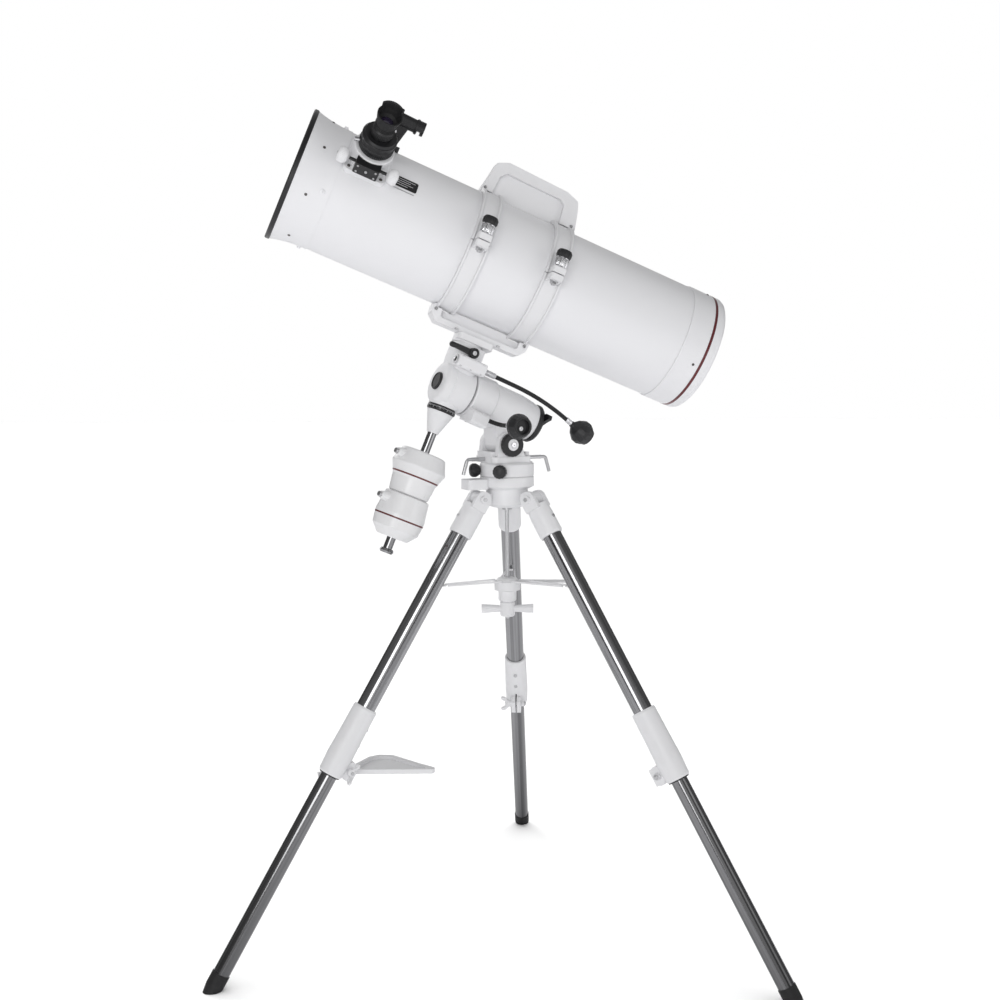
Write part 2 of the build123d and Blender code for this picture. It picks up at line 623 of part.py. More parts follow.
HX, HY = 0.0, -134.0              # cradle hinge, on the far side
LY = 139.0                        # clamp bolts, on the near side
for nm, s in (("upper", 1), ("lower", -1)):
    with BuildPart() as half:
        for s0 in (RING_1, RING_2):
            ring = sub(TUBE, (0, 0, s0))
            with BuildSketch(side(ring)):
                with BuildLine():
                    Polyline((116.5, -19), (124.6, -19), (124.6, -15), (121, -14), (121, 14), (124.6, 15), (124.6, 19), (116.5, 19), close=True)
                make_face()
            revolve(axis=spin(ring))
            # clamp lug
            lug = Plane(origin=at(ring, s * 1.0, 137, 0), x_dir=ring.z_dir, z_dir=ring.x_dir * s)
            with BuildSketch(lug):
                RectangleRounded(26, 34, 5)
            extrude(amount=12)
            # hinge knuckles
            kn = Plane(origin=at(ring, HX, HY, 0), x_dir=ring.x_dir, z_dir=ring.z_dir)
            spans = ((-18, -7.3), (7.3, 18)) if s > 0 else ((-7, 7),)
            for a, b in spans:
                with BuildSketch(kn.offset(a)):
                    Circle(7)
                    with Locations((s * 6, 6)):
                        Rectangle(10, 14)
                extrude(amount=b - a)
            with Locations(TUBE.offset(s0 - 30)):
                Cylinder(116.5, 60, align=CM, mode=Mode.SUBTRACT)
            with Locations(Plane(origin=at(ring, 0, LY, 0), x_dir=ring.z_dir, z_dir=ring.x_dir)):
                Cylinder(4.6, 60, mode=Mode.SUBTRACT)
        # keep this half only, outside the hinge's circle
        with Locations(sub(TUBE, (s * 0.8, 10, 10), zd=(-s, 0, 0), xd=(0, 0, 1))):
            Box(400, 280, 200, align=CM, mode=Mode.SUBTRACT)
        for s0 in (RING_1, RING_2):
            kn = Plane(origin=at(TUBE, HX, HY, s0), x_dir=TUBE.x_dir, z_dir=TUBE.z_dir)
            clear = ((-7.4, 7.4),) if s > 0 else ((-19.1, -7), (7, 19.1))
            for a, b in clear:
                with Locations(kn.offset(a)):
                    Cylinder(7.6, b - a, align=CM, mode=Mode.SUBTRACT)
            with Locations(kn.offset(-30)):
                Cylinder(3.3 if s > 0 else 3.0, 60, align=CM, mode=Mode.SUBTRACT)
            if s < 0:
                # pin pressed into the middle knuckle
                with Locations(kn.offset(-20)):
                    Cylinder(3.0, 40, align=CM)
    save(half, f"{nm}_rings")

for nm, s0 in (("front", RING_1), ("rear", RING_2)):
    kb = Plane(origin=at(TUBE, 0, LY, s0), x_dir=TUBE.z_dir, z_dir=TUBE.x_dir)
    with BuildPart() as ck:
        with BuildSketch(side(kb)):
            with BuildLine():
                Polyline((0, -9), (4, -9), (4, 13.4), (11, 13.4), (12.3, 15), (12.3, 33), (0, 33), close=True)
            make_face()
        revolve(axis=spin(kb))
        with BuildSketch(side(kb)):
            with BuildLine():
                Polyline((0, 33.1), (13, 33.1), (14, 35), (14, 45), (12, 48), (0, 48), close=True)
            make_face()
        revolve(axis=spin(kb))
    save(ck, f"clamp_knob_{nm}")

# ================================================================== optical tube
with BuildPart() as tube:
    with BuildSketch(TUBE.offset(TUBE_FRONT)):
        Circle(TUBE_R)
        Circle(TUBE_R - TUBE_WALL, mode=Mode.SUBTRACT)
    extrude(amount=TUBE_REAR - TUBE_FRONT)
    with Locations(FOC.offset(80)):
        Cylinder(33, 60, align=CM, mode=Mode.SUBTRACT)
save(tube, "main_tube")

with BuildPart() as fcell:
    with BuildSketch(side(TUBE)):
        with BuildLine():
            Polyline((TUBE_R, -350), (117, -350), (117.2, -352))
            ThreePointArc((117.2, -352), (119.4, -392), (125.5, -420.3))
            Polyline((125.5, -420.3), (MOUTH_R, -420.3), (MOUTH_R, MOUTH_END), (TUBE_R - TUBE_WALL - 0.1, MOUTH_END),
                     (TUBE_R - TUBE_WALL - 0.1, -414.1), (TUBE_R, -414.1), (TUBE_R, -350))
        make_face()
    revolve(axis=spin(TUBE))
save(fcell, "front_cell")

with BuildPart() as trim:
    with BuildSketch(side(TUBE)):
        with BuildLine():
            Polyline((112, -420.4), (112, -428.4), (114, -430), (125.5, -430), (127.2, -428), (127.2, -422), (126, -420.4), close=True)
        make_face()
    revolve(axis=spin(TUBE))
save(trim, "front_trim_ring")

with BuildPart() as rcell:
    with BuildSketch(side(TUBE)):
        with BuildLine():
            Polyline((TUBE_R, 374), (117.6, 374), (118, 375), (118, 438), (115.5, 444), (110, CELL_END), (106, CELL_END), (106, 436), (60, 436), (60, 430), (112, 430),
                     (112, 396.1), (TUBE_R, 396.1), close=True)
        make_face()
    revolve(axis=spin(TUBE))
    with BuildSketch(TUBE.offset(425)):
        with PolarLocations(86, 3, start_angle=30):
            Circle(3.6)
        with PolarLocations(86, 3, start_angle=90):
            Circle(10)
    extrude(amount=20, mode=Mode.SUBTRACT)
save(rcell, "rear_cell")

with BuildPart() as mcell:
    with BuildSketch(TUBE.offset(388)):
        Circle(108)
        with PolarLocations(60, 6):
            Circle(18, mode=Mode.SUBTRACT)
    extrude(amount=9)
    with BuildSketch(TUBE.offset(350)):
        with PolarLocations(105.5, 3, start_angle=60):
            RectangleRounded(5, 26, 2)
    extrude(amount=40)
    with BuildSketch(TUBE.offset(347)):
        with PolarLocations(102, 3, start_angle=60):
            RectangleRounded(12, 26, 2)
    extrude(amount=3)
    with Locations(TUBE.offset(340)):
        Cylinder(101.9, 48, align=CM, mode=Mode.PRIVATE)
save(mcell, "mirror_cell")

with BuildPart() as mirror:
    with Locations(TUBE.offset(352)):
        Cylinder(MIRROR_R, 35.8, align=CM)
    with Locations(TUBE.offset(355 - 1800)):
        Sphere(1800, mode=Mode.SUBTRACT)
save(mirror, "primary_mirror")

with BuildPart() as cbolts:
    for a in (30, 150, 270):
        q = sub(TUBE, (86 * cos(radians(a)), 86 * sin(radians(a)), 0))
        with BuildSketch(side(q)):
            with BuildLine():
                Polyline((0, 397.1), (3, 397.1), (3, 436.2), (8.5, 436.2), (9, 437), (9, 445), (7, 447), (0, 447), close=True)
            make_face()
        revolve(axis=spin(q))
        # spring around it
        with BuildSketch(q.offset(397.2)):
            Circle(7)
            Circle(4.5, mode=Mode.SUBTRACT)
        extrude(amount=32.6)
save(cbolts, "collimation_screws")

# spider and secondary mirror at 45 degrees under the focuser
SPI_A, SPI_B = -376.0, -352.0
with BuildPart() as spider:
    with BuildSketch(TUBE.offset(SPI_A + 2)):
        for a in (FOCUSER_A + 45, FOCUSER_A + 135):
            with Locations(Location((0, 0, 0), (0, 0, a))):
                Rectangle(2 * (TUBE_R - TUBE_WALL) - 0.2, 1.4)
    extrude(amount=20)
    with BuildSketch(TUBE.offset(SPI_A)):
        Circle(17)
    extrude(amount=SPI_B - SPI_A)

MN = sub(TUBE, (0, 0, FOCUSER_S), zd=(cos(fa) * 0.70710678, sin(fa) * 0.70710678, 0.70710678), xd=(-sin(fa), cos(fa), 0))
with BuildPart() as sec:
    with Locations(TUBE.offset(FOCUSER_S - 60)):
        Cylinder(29, 120, align=CM)
    split(bisect_by=MN, keep=Keep.BOTTOM)
    split(bisect_by=MN.offset(-9), keep=Keep.TOP)
save(sec, "secondary_mirror")
# holder behind the secondary mirror
with BuildPart() as sech:
    with Locations(TUBE.offset(SPI_B + 0.1)):
        Cylinder(27.5, 100, align=CM)
    split(bisect_by=MN.offset(-9.1), keep=Keep.BOTTOM)
spider_all = Compound(children=[spider.part.solid(), sech.part.solid()])
spider_all.label = "spider"
export_step(spider_all, "parts/spider.step")

# ================================================================== focuser
with BuildPart() as fbase:
    with BuildSketch(FOC.offset(84)):
        RectangleRounded(80, 84, 10)
    extrude(amount=36)
    with Locations(TUBE.offset(FOCUSER_S - 60)):
        Cylinder(TUBE_R, 120, align=CM, mode=Mode.SUBTRACT)
    with BuildSketch(side(FOC)):
        with BuildLine():
            Polyline((0, 113), (39.5, 113), (39.5, 120), (38.5, 124), (37.5, 152), (36, 154), (0, 154), close=True)
        make_face()
    revolve(axis=spin(FOC))
    with Locations(TUBE.offset(FOCUSER_S - 60)):
        Cylinder(TUBE_R, 120, align=CM, mode=Mode.SUBTRACT)
    with Locations(FOC.offset(60)):
        Cylinder(28.3, 120, align=CM, mode=Mode.SUBTRACT)
    # window for the pinion
    with Locations(sub(FOC, (0, -36, 141))):
        Box(26, 24, 20, mode=Mode.SUBTRACT)
    with Locations(sub(FOC, (0, -36, 141), zd=(1, 0, 0), xd=(0, 1, 0))):
        Cylinder(3.3, 120, mode=Mode.SUBTRACT)
save(fbase, "focuser_base")

with BuildPart() as phouse:
    with BuildSketch(sub(FOC, (0, -39, 128.5))):
        RectangleRounded(46, 26, 3)
    extrude(amount=24)
    with Locations(FOC.offset(100)):
        Cylinder(39.2, 80, align=CM, mode=Mode.SUBTRACT)
    with Locations(sub(FOC, (0, -36, 141))):
        Box(26, 24, 20, mode=Mode.SUBTRACT)
    with Locations(sub(FOC, (0, -36, 141), zd=(1, 0, 0), xd=(0, 1, 0))):
        Cylinder(3.3, 120, mode=Mode.SUBTRACT)
save(phouse, "pinion_housing")

PIN = sub(FOC, (0, -36, 141), zd=(1, 0, 0), xd=(0, 1, 0))
with BuildPart() as fshaft:
    with BuildSketch(side(PIN)):
        with BuildLine():
            Polyline((0, -38), (3, -38), (3, -12), (7.2, -12), (7.2, 12), (3, 12), (3, 38), (0, 38), close=True)
        make_face()
    revolve(axis=spin(PIN))
    for s in (1, -1):
        q = sub(PIN, (0, 0, 0), zd=(0, 0, s), xd=(0, 1, 0))
        with BuildSketch(side(q)):
            with BuildLine():
                Polyline((0, 38.1), (0, 57), (11.6, 57), (14, 54.6), (14, 44), (11.5, 40), (8, 38), (3.1, 36), (3.1, 38.1), close=True)
            make_face()
        revolve(axis=spin(q))
save(fshaft, "focus_shaft")

with BuildPart() as draw:
    with BuildSketch(side(FOC)):
        with BuildLine():
            Polyline((24, 98), (28, 98), (28, 154.6), (30, 154.6), (31.7, 157), (31.7, 186), (29, 190), (15.95, 190), (15.95, 162), (24, 160), close=True)
        make_face()
    revolve(axis=spin(FOC))
    with Locations(sub(FOC, (0, -33, 126))):
        Box(12, 9.6, 57.1, mode=Mode.SUBTRACT)
    # thumbscrews that hold the eyepiece
    for a, z0, r0 in ((200, 168, 31.7), (60, 176, 31.7)):
        q = sub(FOC, (0, 0, z0), zd=(cos(radians(a)), sin(radians(a)), 0), xd=(0, 0, 1))
        with BuildSketch(side(q)):
            with BuildLine():
                Polyline((0, r0 + 0.1), (2.2, r0 + 0.1), (2.2, r0 + 3), (4.5, r0 + 3), (4.5, r0 + 11), (0, r0 + 11), close=True)
            make_face()
        revolve(axis=spin(q))
save(draw, "drawtube")

with BuildPart() as eye:
    with BuildSketch(side(FOC)):
        with BuildLine():
            Polyline((11, 166), (15.85, 166), (15.85, 190.1), (19, 190.1), (19.5, 192), (19.5, 206), (18, 208), (19, 222), (22.5, 236), (23, 240), (21, 240),
                     (17, 226), (12, 222), (0, 222), (0, 168), (11, 168), close=True)
        make_face()
    revolve(axis=spin(FOC))
    # winged side of the eyecup
    wing_pl = Plane(origin=FOC.origin, x_dir=FOC.x_dir.rotate(spin(FOC), 35), z_dir=FOC.z_dir)
    with BuildSketch(side(wing_pl)):
        with BuildLine():
            Polyline((19.6, 233), (22.2, 233), (24.5, 249), (23, 251), (21.4, 248), close=True)
        make_face()
    revolve(axis=spin(FOC), revolution_arc=110)
save(eye, "eyepiece")

# ================================================================== red-dot finder on top of the tube
FA = radians(12)
FIN = sub(TUBE, (0, 0, -286), zd=(cos(FA), sin(FA), 0), xd=(0, 0, 1))
with BuildPart() as finder:
    with BuildSketch(FIN.offset(100)):
        RectangleRounded(52, 34, 4)
    extrude(amount=26)
    with Locations(TUBE.offset(-340)):
        Cylinder(TUBE_R, 120, align=CM, mode=Mode.SUBTRACT)
    with BuildSketch(FIN.offset(126.1)):
        RectangleRounded(36, 18, 4)
    with BuildSketch(FIN.offset(164)):
        RectangleRounded(56, 16, 4)
    loft()
    fb = sub(FIN, (0, 0, 175), zd=(1, 0, 0), xd=(0, 1, 0))
    with BuildSketch(fb.offset(-32)):
        RectangleRounded(26, 28, 9)
    with BuildSketch(fb.offset(40)):
        RectangleRounded(24, 24, 9)
    loft()
    with Locations(fb.offset(38)):
        Cylinder(13.5, 18, align=CM)
    with Locations(sub(fb, (0, -12, 47))):
        Box(40, 10, 7, mode=Mode.SUBTRACT)
save(finder, "red_dot_finder")
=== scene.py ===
import bpy
import bmesh
from math import sin, cos, tan, radians, pi, hypot, sqrt, atan2
from mathutils import Vector, Matrix


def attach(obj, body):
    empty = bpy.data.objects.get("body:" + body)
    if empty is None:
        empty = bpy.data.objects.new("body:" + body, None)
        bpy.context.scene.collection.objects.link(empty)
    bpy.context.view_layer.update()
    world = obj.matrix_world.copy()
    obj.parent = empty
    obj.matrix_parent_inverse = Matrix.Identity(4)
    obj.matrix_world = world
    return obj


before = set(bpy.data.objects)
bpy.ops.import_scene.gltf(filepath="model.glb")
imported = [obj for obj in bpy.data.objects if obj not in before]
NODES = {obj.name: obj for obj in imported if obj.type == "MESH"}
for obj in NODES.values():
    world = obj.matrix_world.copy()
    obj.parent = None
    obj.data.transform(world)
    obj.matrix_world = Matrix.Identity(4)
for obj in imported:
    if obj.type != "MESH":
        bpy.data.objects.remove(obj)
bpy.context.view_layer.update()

# ------------------------------------------------------------------ frames, in mm, as the CAD has them
AX, AY = 17.0, -137.0


def F(o, x, z):
    x, z = Vector(x).normalized(), Vector(z).normalized()
    return (Vector(o), x, z.cross(x), z)


def at(f, x, y, z):
    return f[0] + f[1] * x + f[2] * y + f[3] * z


def way(f, x, y, z):
    return f[1] * x + f[2] * y + f[3] * z


def sub(f, o, zd=(0, 0, 1), xd=(1, 0, 0)):
    return F(at(f, *o), way(f, *xd), way(f, *zd))


lat, pole = radians(22.7), radians(208.1)
p_dir = Vector((cos(lat) * cos(pole), cos(lat) * sin(pole), sin(lat)))
d_mer = Vector((-sin(lat) * cos(pole), -sin(lat) * sin(pole), cos(lat)))
cross_pt = Vector((AX, AY, 1060.7)) + p_dir * 133.8
d_dir = Matrix.Rotation(radians(-2.8), 3, p_dir) @ d_mer
front_dir = Matrix.Rotation(radians(-14.0), 3, d_dir) @ p_dir
BASE = F((AX, AY, 0), (1, 0, 0), (0, 0, 1))
MER = F((AX, AY, 0), (-cos(pole), -sin(pole), 0), (0, 0, 1))
RA = F(cross_pt, d_mer, -p_dir)
DEC = F(cross_pt, -p_dir, d_dir)
TUBE = F(cross_pt + d_dir * 253.0, d_dir, -front_dir)
fa = radians(60.0)
FOC = sub(TUBE, (0, 0, -308), zd=(cos(fa), sin(fa), 0), xd=(0, 0, 1))
FB = radians(12.0)
FIN = sub(TUBE, (0, 0, -286), zd=(cos(FB), sin(FB), 0), xd=(0, 0, 1))


def leg_frame(angle):
    a = radians(angle)
    out, tan_dir = Vector((cos(a), sin(a), 0)), Vector((-sin(a), cos(a), 0))
    pivot = Vector((AX, AY, 890.3)) + out * 61.5
    foot = Vector((AX, AY, 0)) + out * 618.3
    return F(pivot, tan_dir, foot - pivot)


LEG_NAMES = ("front_left", "front_right", "rear")
LEGS = [leg_frame(a) for a in (206.8, 326.8, 86.8)]
LEG_LEN = hypot(890.3, 618.3 - 61.5)


def around(f, z, deg, r):
    """A frame on a turned surface: z outwards, x along the axis."""
    a = radians(deg)
    return F(at(f, r * cos(a), r * sin(a), z), f[3], way(f, cos(a), sin(a), 0))


# ------------------------------------------------------------------ node helpers
def new_mat(name):
    m = bpy.data.materials.new(name)
    m.use_nodes = True
    nt = m.node_tree
    nt.nodes.clear()
    out = nt.nodes.new("ShaderNodeOutputMaterial")
    bs = nt.nodes.new("ShaderNodeBsdfPrincipled")
    nt.links.new(bs.outputs[0], out.inputs[0])
    return m, nt, bs


def put(nt, sock, v):
    if isinstance(v, bpy.types.NodeSocket):
        nt.links.new(v, sock)
    elif isinstance(v, (tuple, list)) and len(v) == 3 and sock.type == "RGBA":
        sock.default_value = (*v, 1)
    else:
        sock.default_value = v


def mth(nt, op, a, b=0.0, clamp=False):
    n = nt.nodes.new("ShaderNodeMath")
    n.operation = op
    n.use_clamp = clamp
    put(nt, n.inputs[0], a)
    put(nt, n.inputs[1], b)
    return n.outputs[0]


def vec(nt, op, a, b=(0, 0, 0), value=False, scale=None):
    n = nt.nodes.new("ShaderNodeVectorMath")
    n.operation = op
    put(nt, n.inputs[0], a)
    if scale is not None:
        put(nt, n.inputs["Scale"], scale)
    else:
        put(nt, n.inputs[1], b)
    return n.outputs["Value"] if value else n.outputs["Vector"]


def noise(nt, p, scale, detail=3.0, rough=0.55, seed=0.0):
    n = nt.nodes.new("ShaderNodeTexNoise")
    n.noise_dimensions = "4D"
    put(nt, n.inputs["Vector"], p)
    n.inputs["W"].default_value = seed
    n.inputs["Scale"].default_value = scale
    n.inputs["Detail"].default_value = detail
    n.inputs["Roughness"].default_value = rough
    return n.outputs["Fac"]


def remap(nt, v, a, b, c=0.0, d=1.0):
    n = nt.nodes.new("ShaderNodeMapRange")
    put(nt, n.inputs["Value"], v)
    for k, x in (("From Min", a), ("From Max", b), ("To Min", c), ("To Max", d)):
        n.inputs[k].default_value = x
    return n.outputs["Result"]


def mixc(nt, f, a, b):
    n = nt.nodes.new("ShaderNodeMix")
    n.data_type = "RGBA"
    put(nt, n.inputs[0], f)
    put(nt, n.inputs[6], a)
    put(nt, n.inputs[7], b)
    return n.outputs[2]


def mixf(nt, f, a, b):
    n = nt.nodes.new("ShaderNodeMix")
    n.data_type = "FLOAT"
    put(nt, n.inputs[0], f)
    put(nt, n.inputs[2], a)
    put(nt, n.inputs[3], b)
    return n.outputs[0]


def obj_p(nt):
    return nt.nodes.new("ShaderNodeTexCoord").outputs["Object"]


def along(nt, f, p=None):
    """Distance along a frame's z, in mm."""
    q = vec(nt, "SUBTRACT", p or obj_p(nt), tuple(f[0] * 0.001))
    return mth(nt, "MULTIPLY", vec(nt, "DOT_PRODUCT", q, tuple(f[3]), value=True), 1000.0)


def radial(nt, f, p=None):
    """Distance from a frame's z axis, in mm."""
    q = vec(nt, "SUBTRACT", p or obj_p(nt), tuple(f[0] * 0.001))
    return mth(nt, "MULTIPLY", vec(nt, "LENGTH", vec(nt, "CROSS_PRODUCT", q, tuple(f[3])), value=True), 1000.0)


def over(nt, v, edge, soft=0.12):
    return remap(nt, v, edge - soft, edge + soft)


def band(nt, v, a, b, soft=0.12):
    return mth(nt, "MULTIPLY", over(nt, v, a, soft), mth(nt, "SUBTRACT", 1.0, over(nt, v, b, soft)))


def edge_mask(nt, radius):
    """Where an edge is near, by the difference between the rounded and the true normal."""
    bv = nt.nodes.new("ShaderNodeBevel")
    bv.samples = 4
    bv.inputs["Radius"].default_value = radius
    g = nt.nodes.new("ShaderNodeNewGeometry")
    dot = vec(nt, "DOT_PRODUCT", bv.outputs[0], g.outputs["Normal"], value=True)
    return remap(nt, dot, 0.995, 0.86), bv.outputs[0]


# Each finish returns colour, roughness, metal and height (metres).
def f_paint(nt, p):
    big = noise(nt, p, 5.0, 4, seed=1)
    mid = noise(nt, p, 38.0, 4, seed=2)
    peel = noise(nt, p, 620.0, 2, seed=3)
    dust = noise(nt, p, 260.0, 4, 0.6, 4)
    col = mixc(nt, big, (0.835, 0.835, 0.855), (0.862, 0.862, 0.876))
    col = mixc(nt, remap(nt, dust, 0.55, 0.8, 0.0, 0.02), col, (0.76, 0.76, 0.77))
    ro = remap(nt, mid, 0.3, 0.7, 0.275, 0.29)
    return col, ro, 0.0, mth(nt, "MULTIPLY", peel, 0.000012)


def f_cast(nt, p):
    big = noise(nt, p, 9.0, 4, seed=5)
    grain = noise(nt, p, 1500.0, 3, seed=6)
    wave = noise(nt, p, 70.0, 3, seed=7)
    dirt = remap(nt, noise(nt, p, 26.0, 7, 0.72, 8), 0.58, 0.82)
    col = mixc(nt, big, (0.795, 0.795, 0.81), (0.85, 0.85, 0.86))
    col = mixc(nt, mth(nt, "MULTIPLY", dirt, 0.22), col, (0.62, 0.62, 0.61))
    ro = mth(nt, "ADD", remap(nt, grain, 0.3, 0.7, 0.34, 0.46), mth(nt, "MULTIPLY", dirt, 0.1))
    h = mth(nt, "ADD", mth(nt, "MULTIPLY", grain, 0.00003), mth(nt, "MULTIPLY", wave, 0.00022))
    return col, ro, 0.0, h


def f_iron(nt, p):
    big = noise(nt, p, 14.0, 4, seed=9)
    lump = noise(nt, p, 130.0, 4, seed=10)
    grain = noise(nt, p, 1100.0, 2, seed=11)
    col = mixc(nt, big, (0.79, 0.79, 0.80), (0.86, 0.86, 0.865))
    h = mth(nt, "ADD", mth(nt, "MULTIPLY", lump, 0.0004), mth(nt, "MULTIPLY", grain, 0.00002))
    return col, remap(nt, lump, 0.3, 0.7, 0.26, 0.38), 0.0, h


def streaks(nt, p, f, along_scale, around_scale, detail=3, seed=0.0):
    q = vec(nt, "SUBTRACT", p, tuple(f[0] * 0.001))
    a = vec(nt, "DOT_PRODUCT", q, tuple(f[3]), value=True)
    c = vec(nt, "CROSS_PRODUCT", q, tuple(f[3]))
    lift = vec(nt, "SCALE", tuple(f[3]), scale=mth(nt, "MULTIPLY", a, along_scale / around_scale))
    return noise(nt, vec(nt, "ADD", c, lift), around_scale, detail, 0.6, seed)


def f_stainless(nt, p, f, dark=0.0):
    fine = streaks(nt, p, f, 4.0, 1600.0, 4, 12)
    wide = streaks(nt, p, f, 0.6, 95.0, 2, 13)
    col = mixc(nt, remap(nt, wide, 0.38, 0.62), (0.15, 0.15, 0.155), (0.40, 0.40, 0.41))
    col = mixc(nt, remap(nt, fine, 0.3, 0.7, 0.0, 0.25), col, (0.62, 0.62, 0.63))
    # dark: the base colour is blended towards near-black along the leg towards the foot, a painted shade that stands
    # in for darker reflections low on the legs
    if dark:
        t = remap(nt, along(nt, f, p), 560.0, 1020.0, 0.15, dark)
        col = mixc(nt, t, col, (0.07, 0.07, 0.072))
    return col, remap(nt, fine, 0.3, 0.7, 0.10, 0.19), 1.0, mth(nt, "MULTIPLY", fine, 0.000006)


def f_turned(nt, p, f, lo=0.09, hi=0.2, c0=(0.70, 0.70, 0.72), c1=(0.86, 0.86, 0.88)):
    ring = noise(nt, vec(nt, "SCALE", tuple(f[3]), scale=mth(nt, "MULTIPLY", along(nt, f, p), 0.001)), 2600.0, 4, 0.7, 14)
    smear = noise(nt, p, 60.0, 4, seed=15)
    return mixc(nt, ring, c0, c1), mth(nt, "ADD", remap(nt, ring, 0.3, 0.7, lo, hi), mth(nt, "MULTIPLY", smear, 0.06)), 1.0, mth(nt, "MULTIPLY", ring, 0.000006)


def f_plastic(nt, p):
    grain = noise(nt, p, 1900.0, 3, seed=16)
    big = noise(nt, p, 30.0, 4, seed=17)
    scuff = remap(nt, noise(nt, p, 240.0, 6, 0.75, 18), 0.64, 0.8)
    col = mixc(nt, big, (0.008, 0.008, 0.009), (0.020, 0.020, 0.022))
    col = mixc(nt, mth(nt, "MULTIPLY", scuff, 0.35), col, (0.07, 0.07, 0.072))
    return col, remap(nt, grain, 0.3, 0.7, 0.34, 0.52), 0.0, mth(nt, "MULTIPLY", grain, 0.00005)


def f_black_metal(nt, p):
    grain = noise(nt, p, 1200.0, 3, seed=19)
    scr = remap(nt, noise(nt, p, 180.0, 8, 0.8, 20), 0.63, 0.75)
    col = mixc(nt, mth(nt, "MULTIPLY", scr, 0.4), (0.012, 0.012, 0.013), (0.10, 0.10, 0.10))
    return col, remap(nt, grain, 0.3, 0.7, 0.28, 0.42), 0.0, mth(nt, "MULTIPLY", grain, 0.00002)


def f_rubber(nt, p):
    grain = noise(nt, p, 900.0, 4, seed=21)
    dust = remap(nt, noise(nt, p, 45.0, 6, 0.7, 22), 0.5, 0.8)
    col = mixc(nt, mth(nt, "MULTIPLY", dust, 0.5), (0.010, 0.010, 0.011), (0.05, 0.05, 0.048))
    return col, remap(nt, grain, 0.3, 0.7, 0.55, 0.75), 0.0, mth(nt, "MULTIPLY", grain, 0.00006)


def f_red(nt, p):
    big = noise(nt, p, 25.0, 4, seed=23)
    return mixc(nt, big, (0.085, 0.008, 0.011), (0.14, 0.012, 0.016)), remap(nt, big, 0.3, 0.7, 0.25, 0.4), 0.0, mth(nt, "MULTIPLY", noise(nt, p, 800.0, 2, seed=24), 0.00001)


def f_lining(nt, p):
    grain = noise(nt, p, 700.0, 4, seed=25)
    return mixc(nt, grain, (0.005, 0.005, 0.005), (0.014, 0.014, 0.014)), remap(nt, grain, 0.3, 0.7, 0.78, 0.95), 0.0, mth(nt, "MULTIPLY", grain, 0.0002)


def f_mirror(nt, p):
    dust = remap(nt, noise(nt, p, 900.0, 5, 0.8, 26), 0.62, 0.8)
    return mixc(nt, dust, (0.90, 0.91, 0.93), (0.75, 0.76, 0.78)), remap(nt, dust, 0.0, 1.0, 0.015, 0.12), 1.0, mth(nt, "MULTIPLY", dust, 0.000001)


def f_felt(nt, p):
    fib = noise(nt, p, 1400.0, 6, 0.8, seed=27)
    return mixc(nt, fib, (0.10, 0.10, 0.105), (0.22, 0.22, 0.225)), remap(nt, fib, 0.3, 0.7, 0.85, 1.0), 0.0, mth(nt, "MULTIPLY", fib, 0.0002)


def make(name, base, extra=(), wear=None, bevel=0.0, coat=0.0, spec=0.5, coat_rough=0.08):
    """extra: (finish, mask) pairs laid over the base. wear: (colour, amount) on edges."""
    m, nt, bs = new_mat(name)
    p = obj_p(nt)
    col, ro, me, h = base(nt, p)
    for fin, mask in extra:
        c2, r2, m2, h2 = fin(nt, p)
        k = mask(nt, p)
        col, ro, me, h = mixc(nt, k, col, c2), mixf(nt, k, ro, r2), mixf(nt, k, me, m2), mixf(nt, k, h, h2)
    nrm = None
    if bevel:
        em, nrm = edge_mask(nt, bevel)
        if wear:
            rub = mth(nt, "MULTIPLY", em, remap(nt, noise(nt, p, 160.0, 5, 0.7, 30), 0.35, 0.65, 0.15, 1.0))
            col = mixc(nt, mth(nt, "MULTIPLY", rub, wear[1]), col, wear[0])
    put(nt, bs.inputs["Base Color"], col)
    put(nt, bs.inputs["Roughness"], ro)
    put(nt, bs.inputs["Metallic"], me)
    bs.inputs["Coat Weight"].default_value = coat
    bs.inputs["Coat Roughness"].default_value = coat_rough
    bs.inputs["Specular IOR Level"].default_value = spec
    b = nt.nodes.new("ShaderNodeBump")
    b.inputs["Strength"].default_value = 1.0
    b.inputs["Distance"].default_value = 1.0
    put(nt, b.inputs["Height"], h)
    if nrm is not None:
        put(nt, b.inputs["Normal"], nrm)
    put(nt, bs.inputs["Normal"], b.outputs[0])
    return m


GREY = (0.60, 0.60, 0.61)
M_PAINT = make("white_paint", f_paint, coat=0.25)
M_TUBE = make("tube_paint_and_lining", f_paint, [(f_lining, lambda nt, p: mth(nt, "SUBTRACT", 1.0, over(nt, radial(nt, TUBE, p), 115.2, 0.1)))], coat=0.0)
M_FCELL = make("front_cell_paint", f_paint, [(f_lining, lambda nt, p: mth(nt, "SUBTRACT", 1.0, over(nt, radial(nt, TUBE, p), 114.45, 0.04)))])
M_RCELL = make("rear_cell_paint", f_paint, coat=0.2, bevel=0.0008, wear=(GREY, 0.3))
M_CAST = make("white_powder_coat", f_cast, bevel=0.0010, wear=(GREY, 0.55))
M_IRON = make("weight_enamel", f_iron, bevel=0.0012, wear=((0.55, 0.54, 0.53), 0.6), coat=0.3)
M_PLASTIC = make("black_plastic", f_plastic, bevel=0.0006, wear=((0.06, 0.06, 0.06), 0.7))
M_BMETAL = make("black_metal", f_black_metal, bevel=0.0005, wear=((0.35, 0.35, 0.35), 0.45))
M_RUBBER = make("rubber", f_rubber)
M_RED = make("red_band", f_red, coat=0.3)
M_MIRROR = make("mirror_face", f_mirror)
M_FELT = make("felt", f_felt)
M_LINING = make("matt_black", f_lining)
M_CHROME = make("chrome", lambda nt, p: f_turned(nt, p, TUBE, 0.06, 0.14), bevel=0.0003)
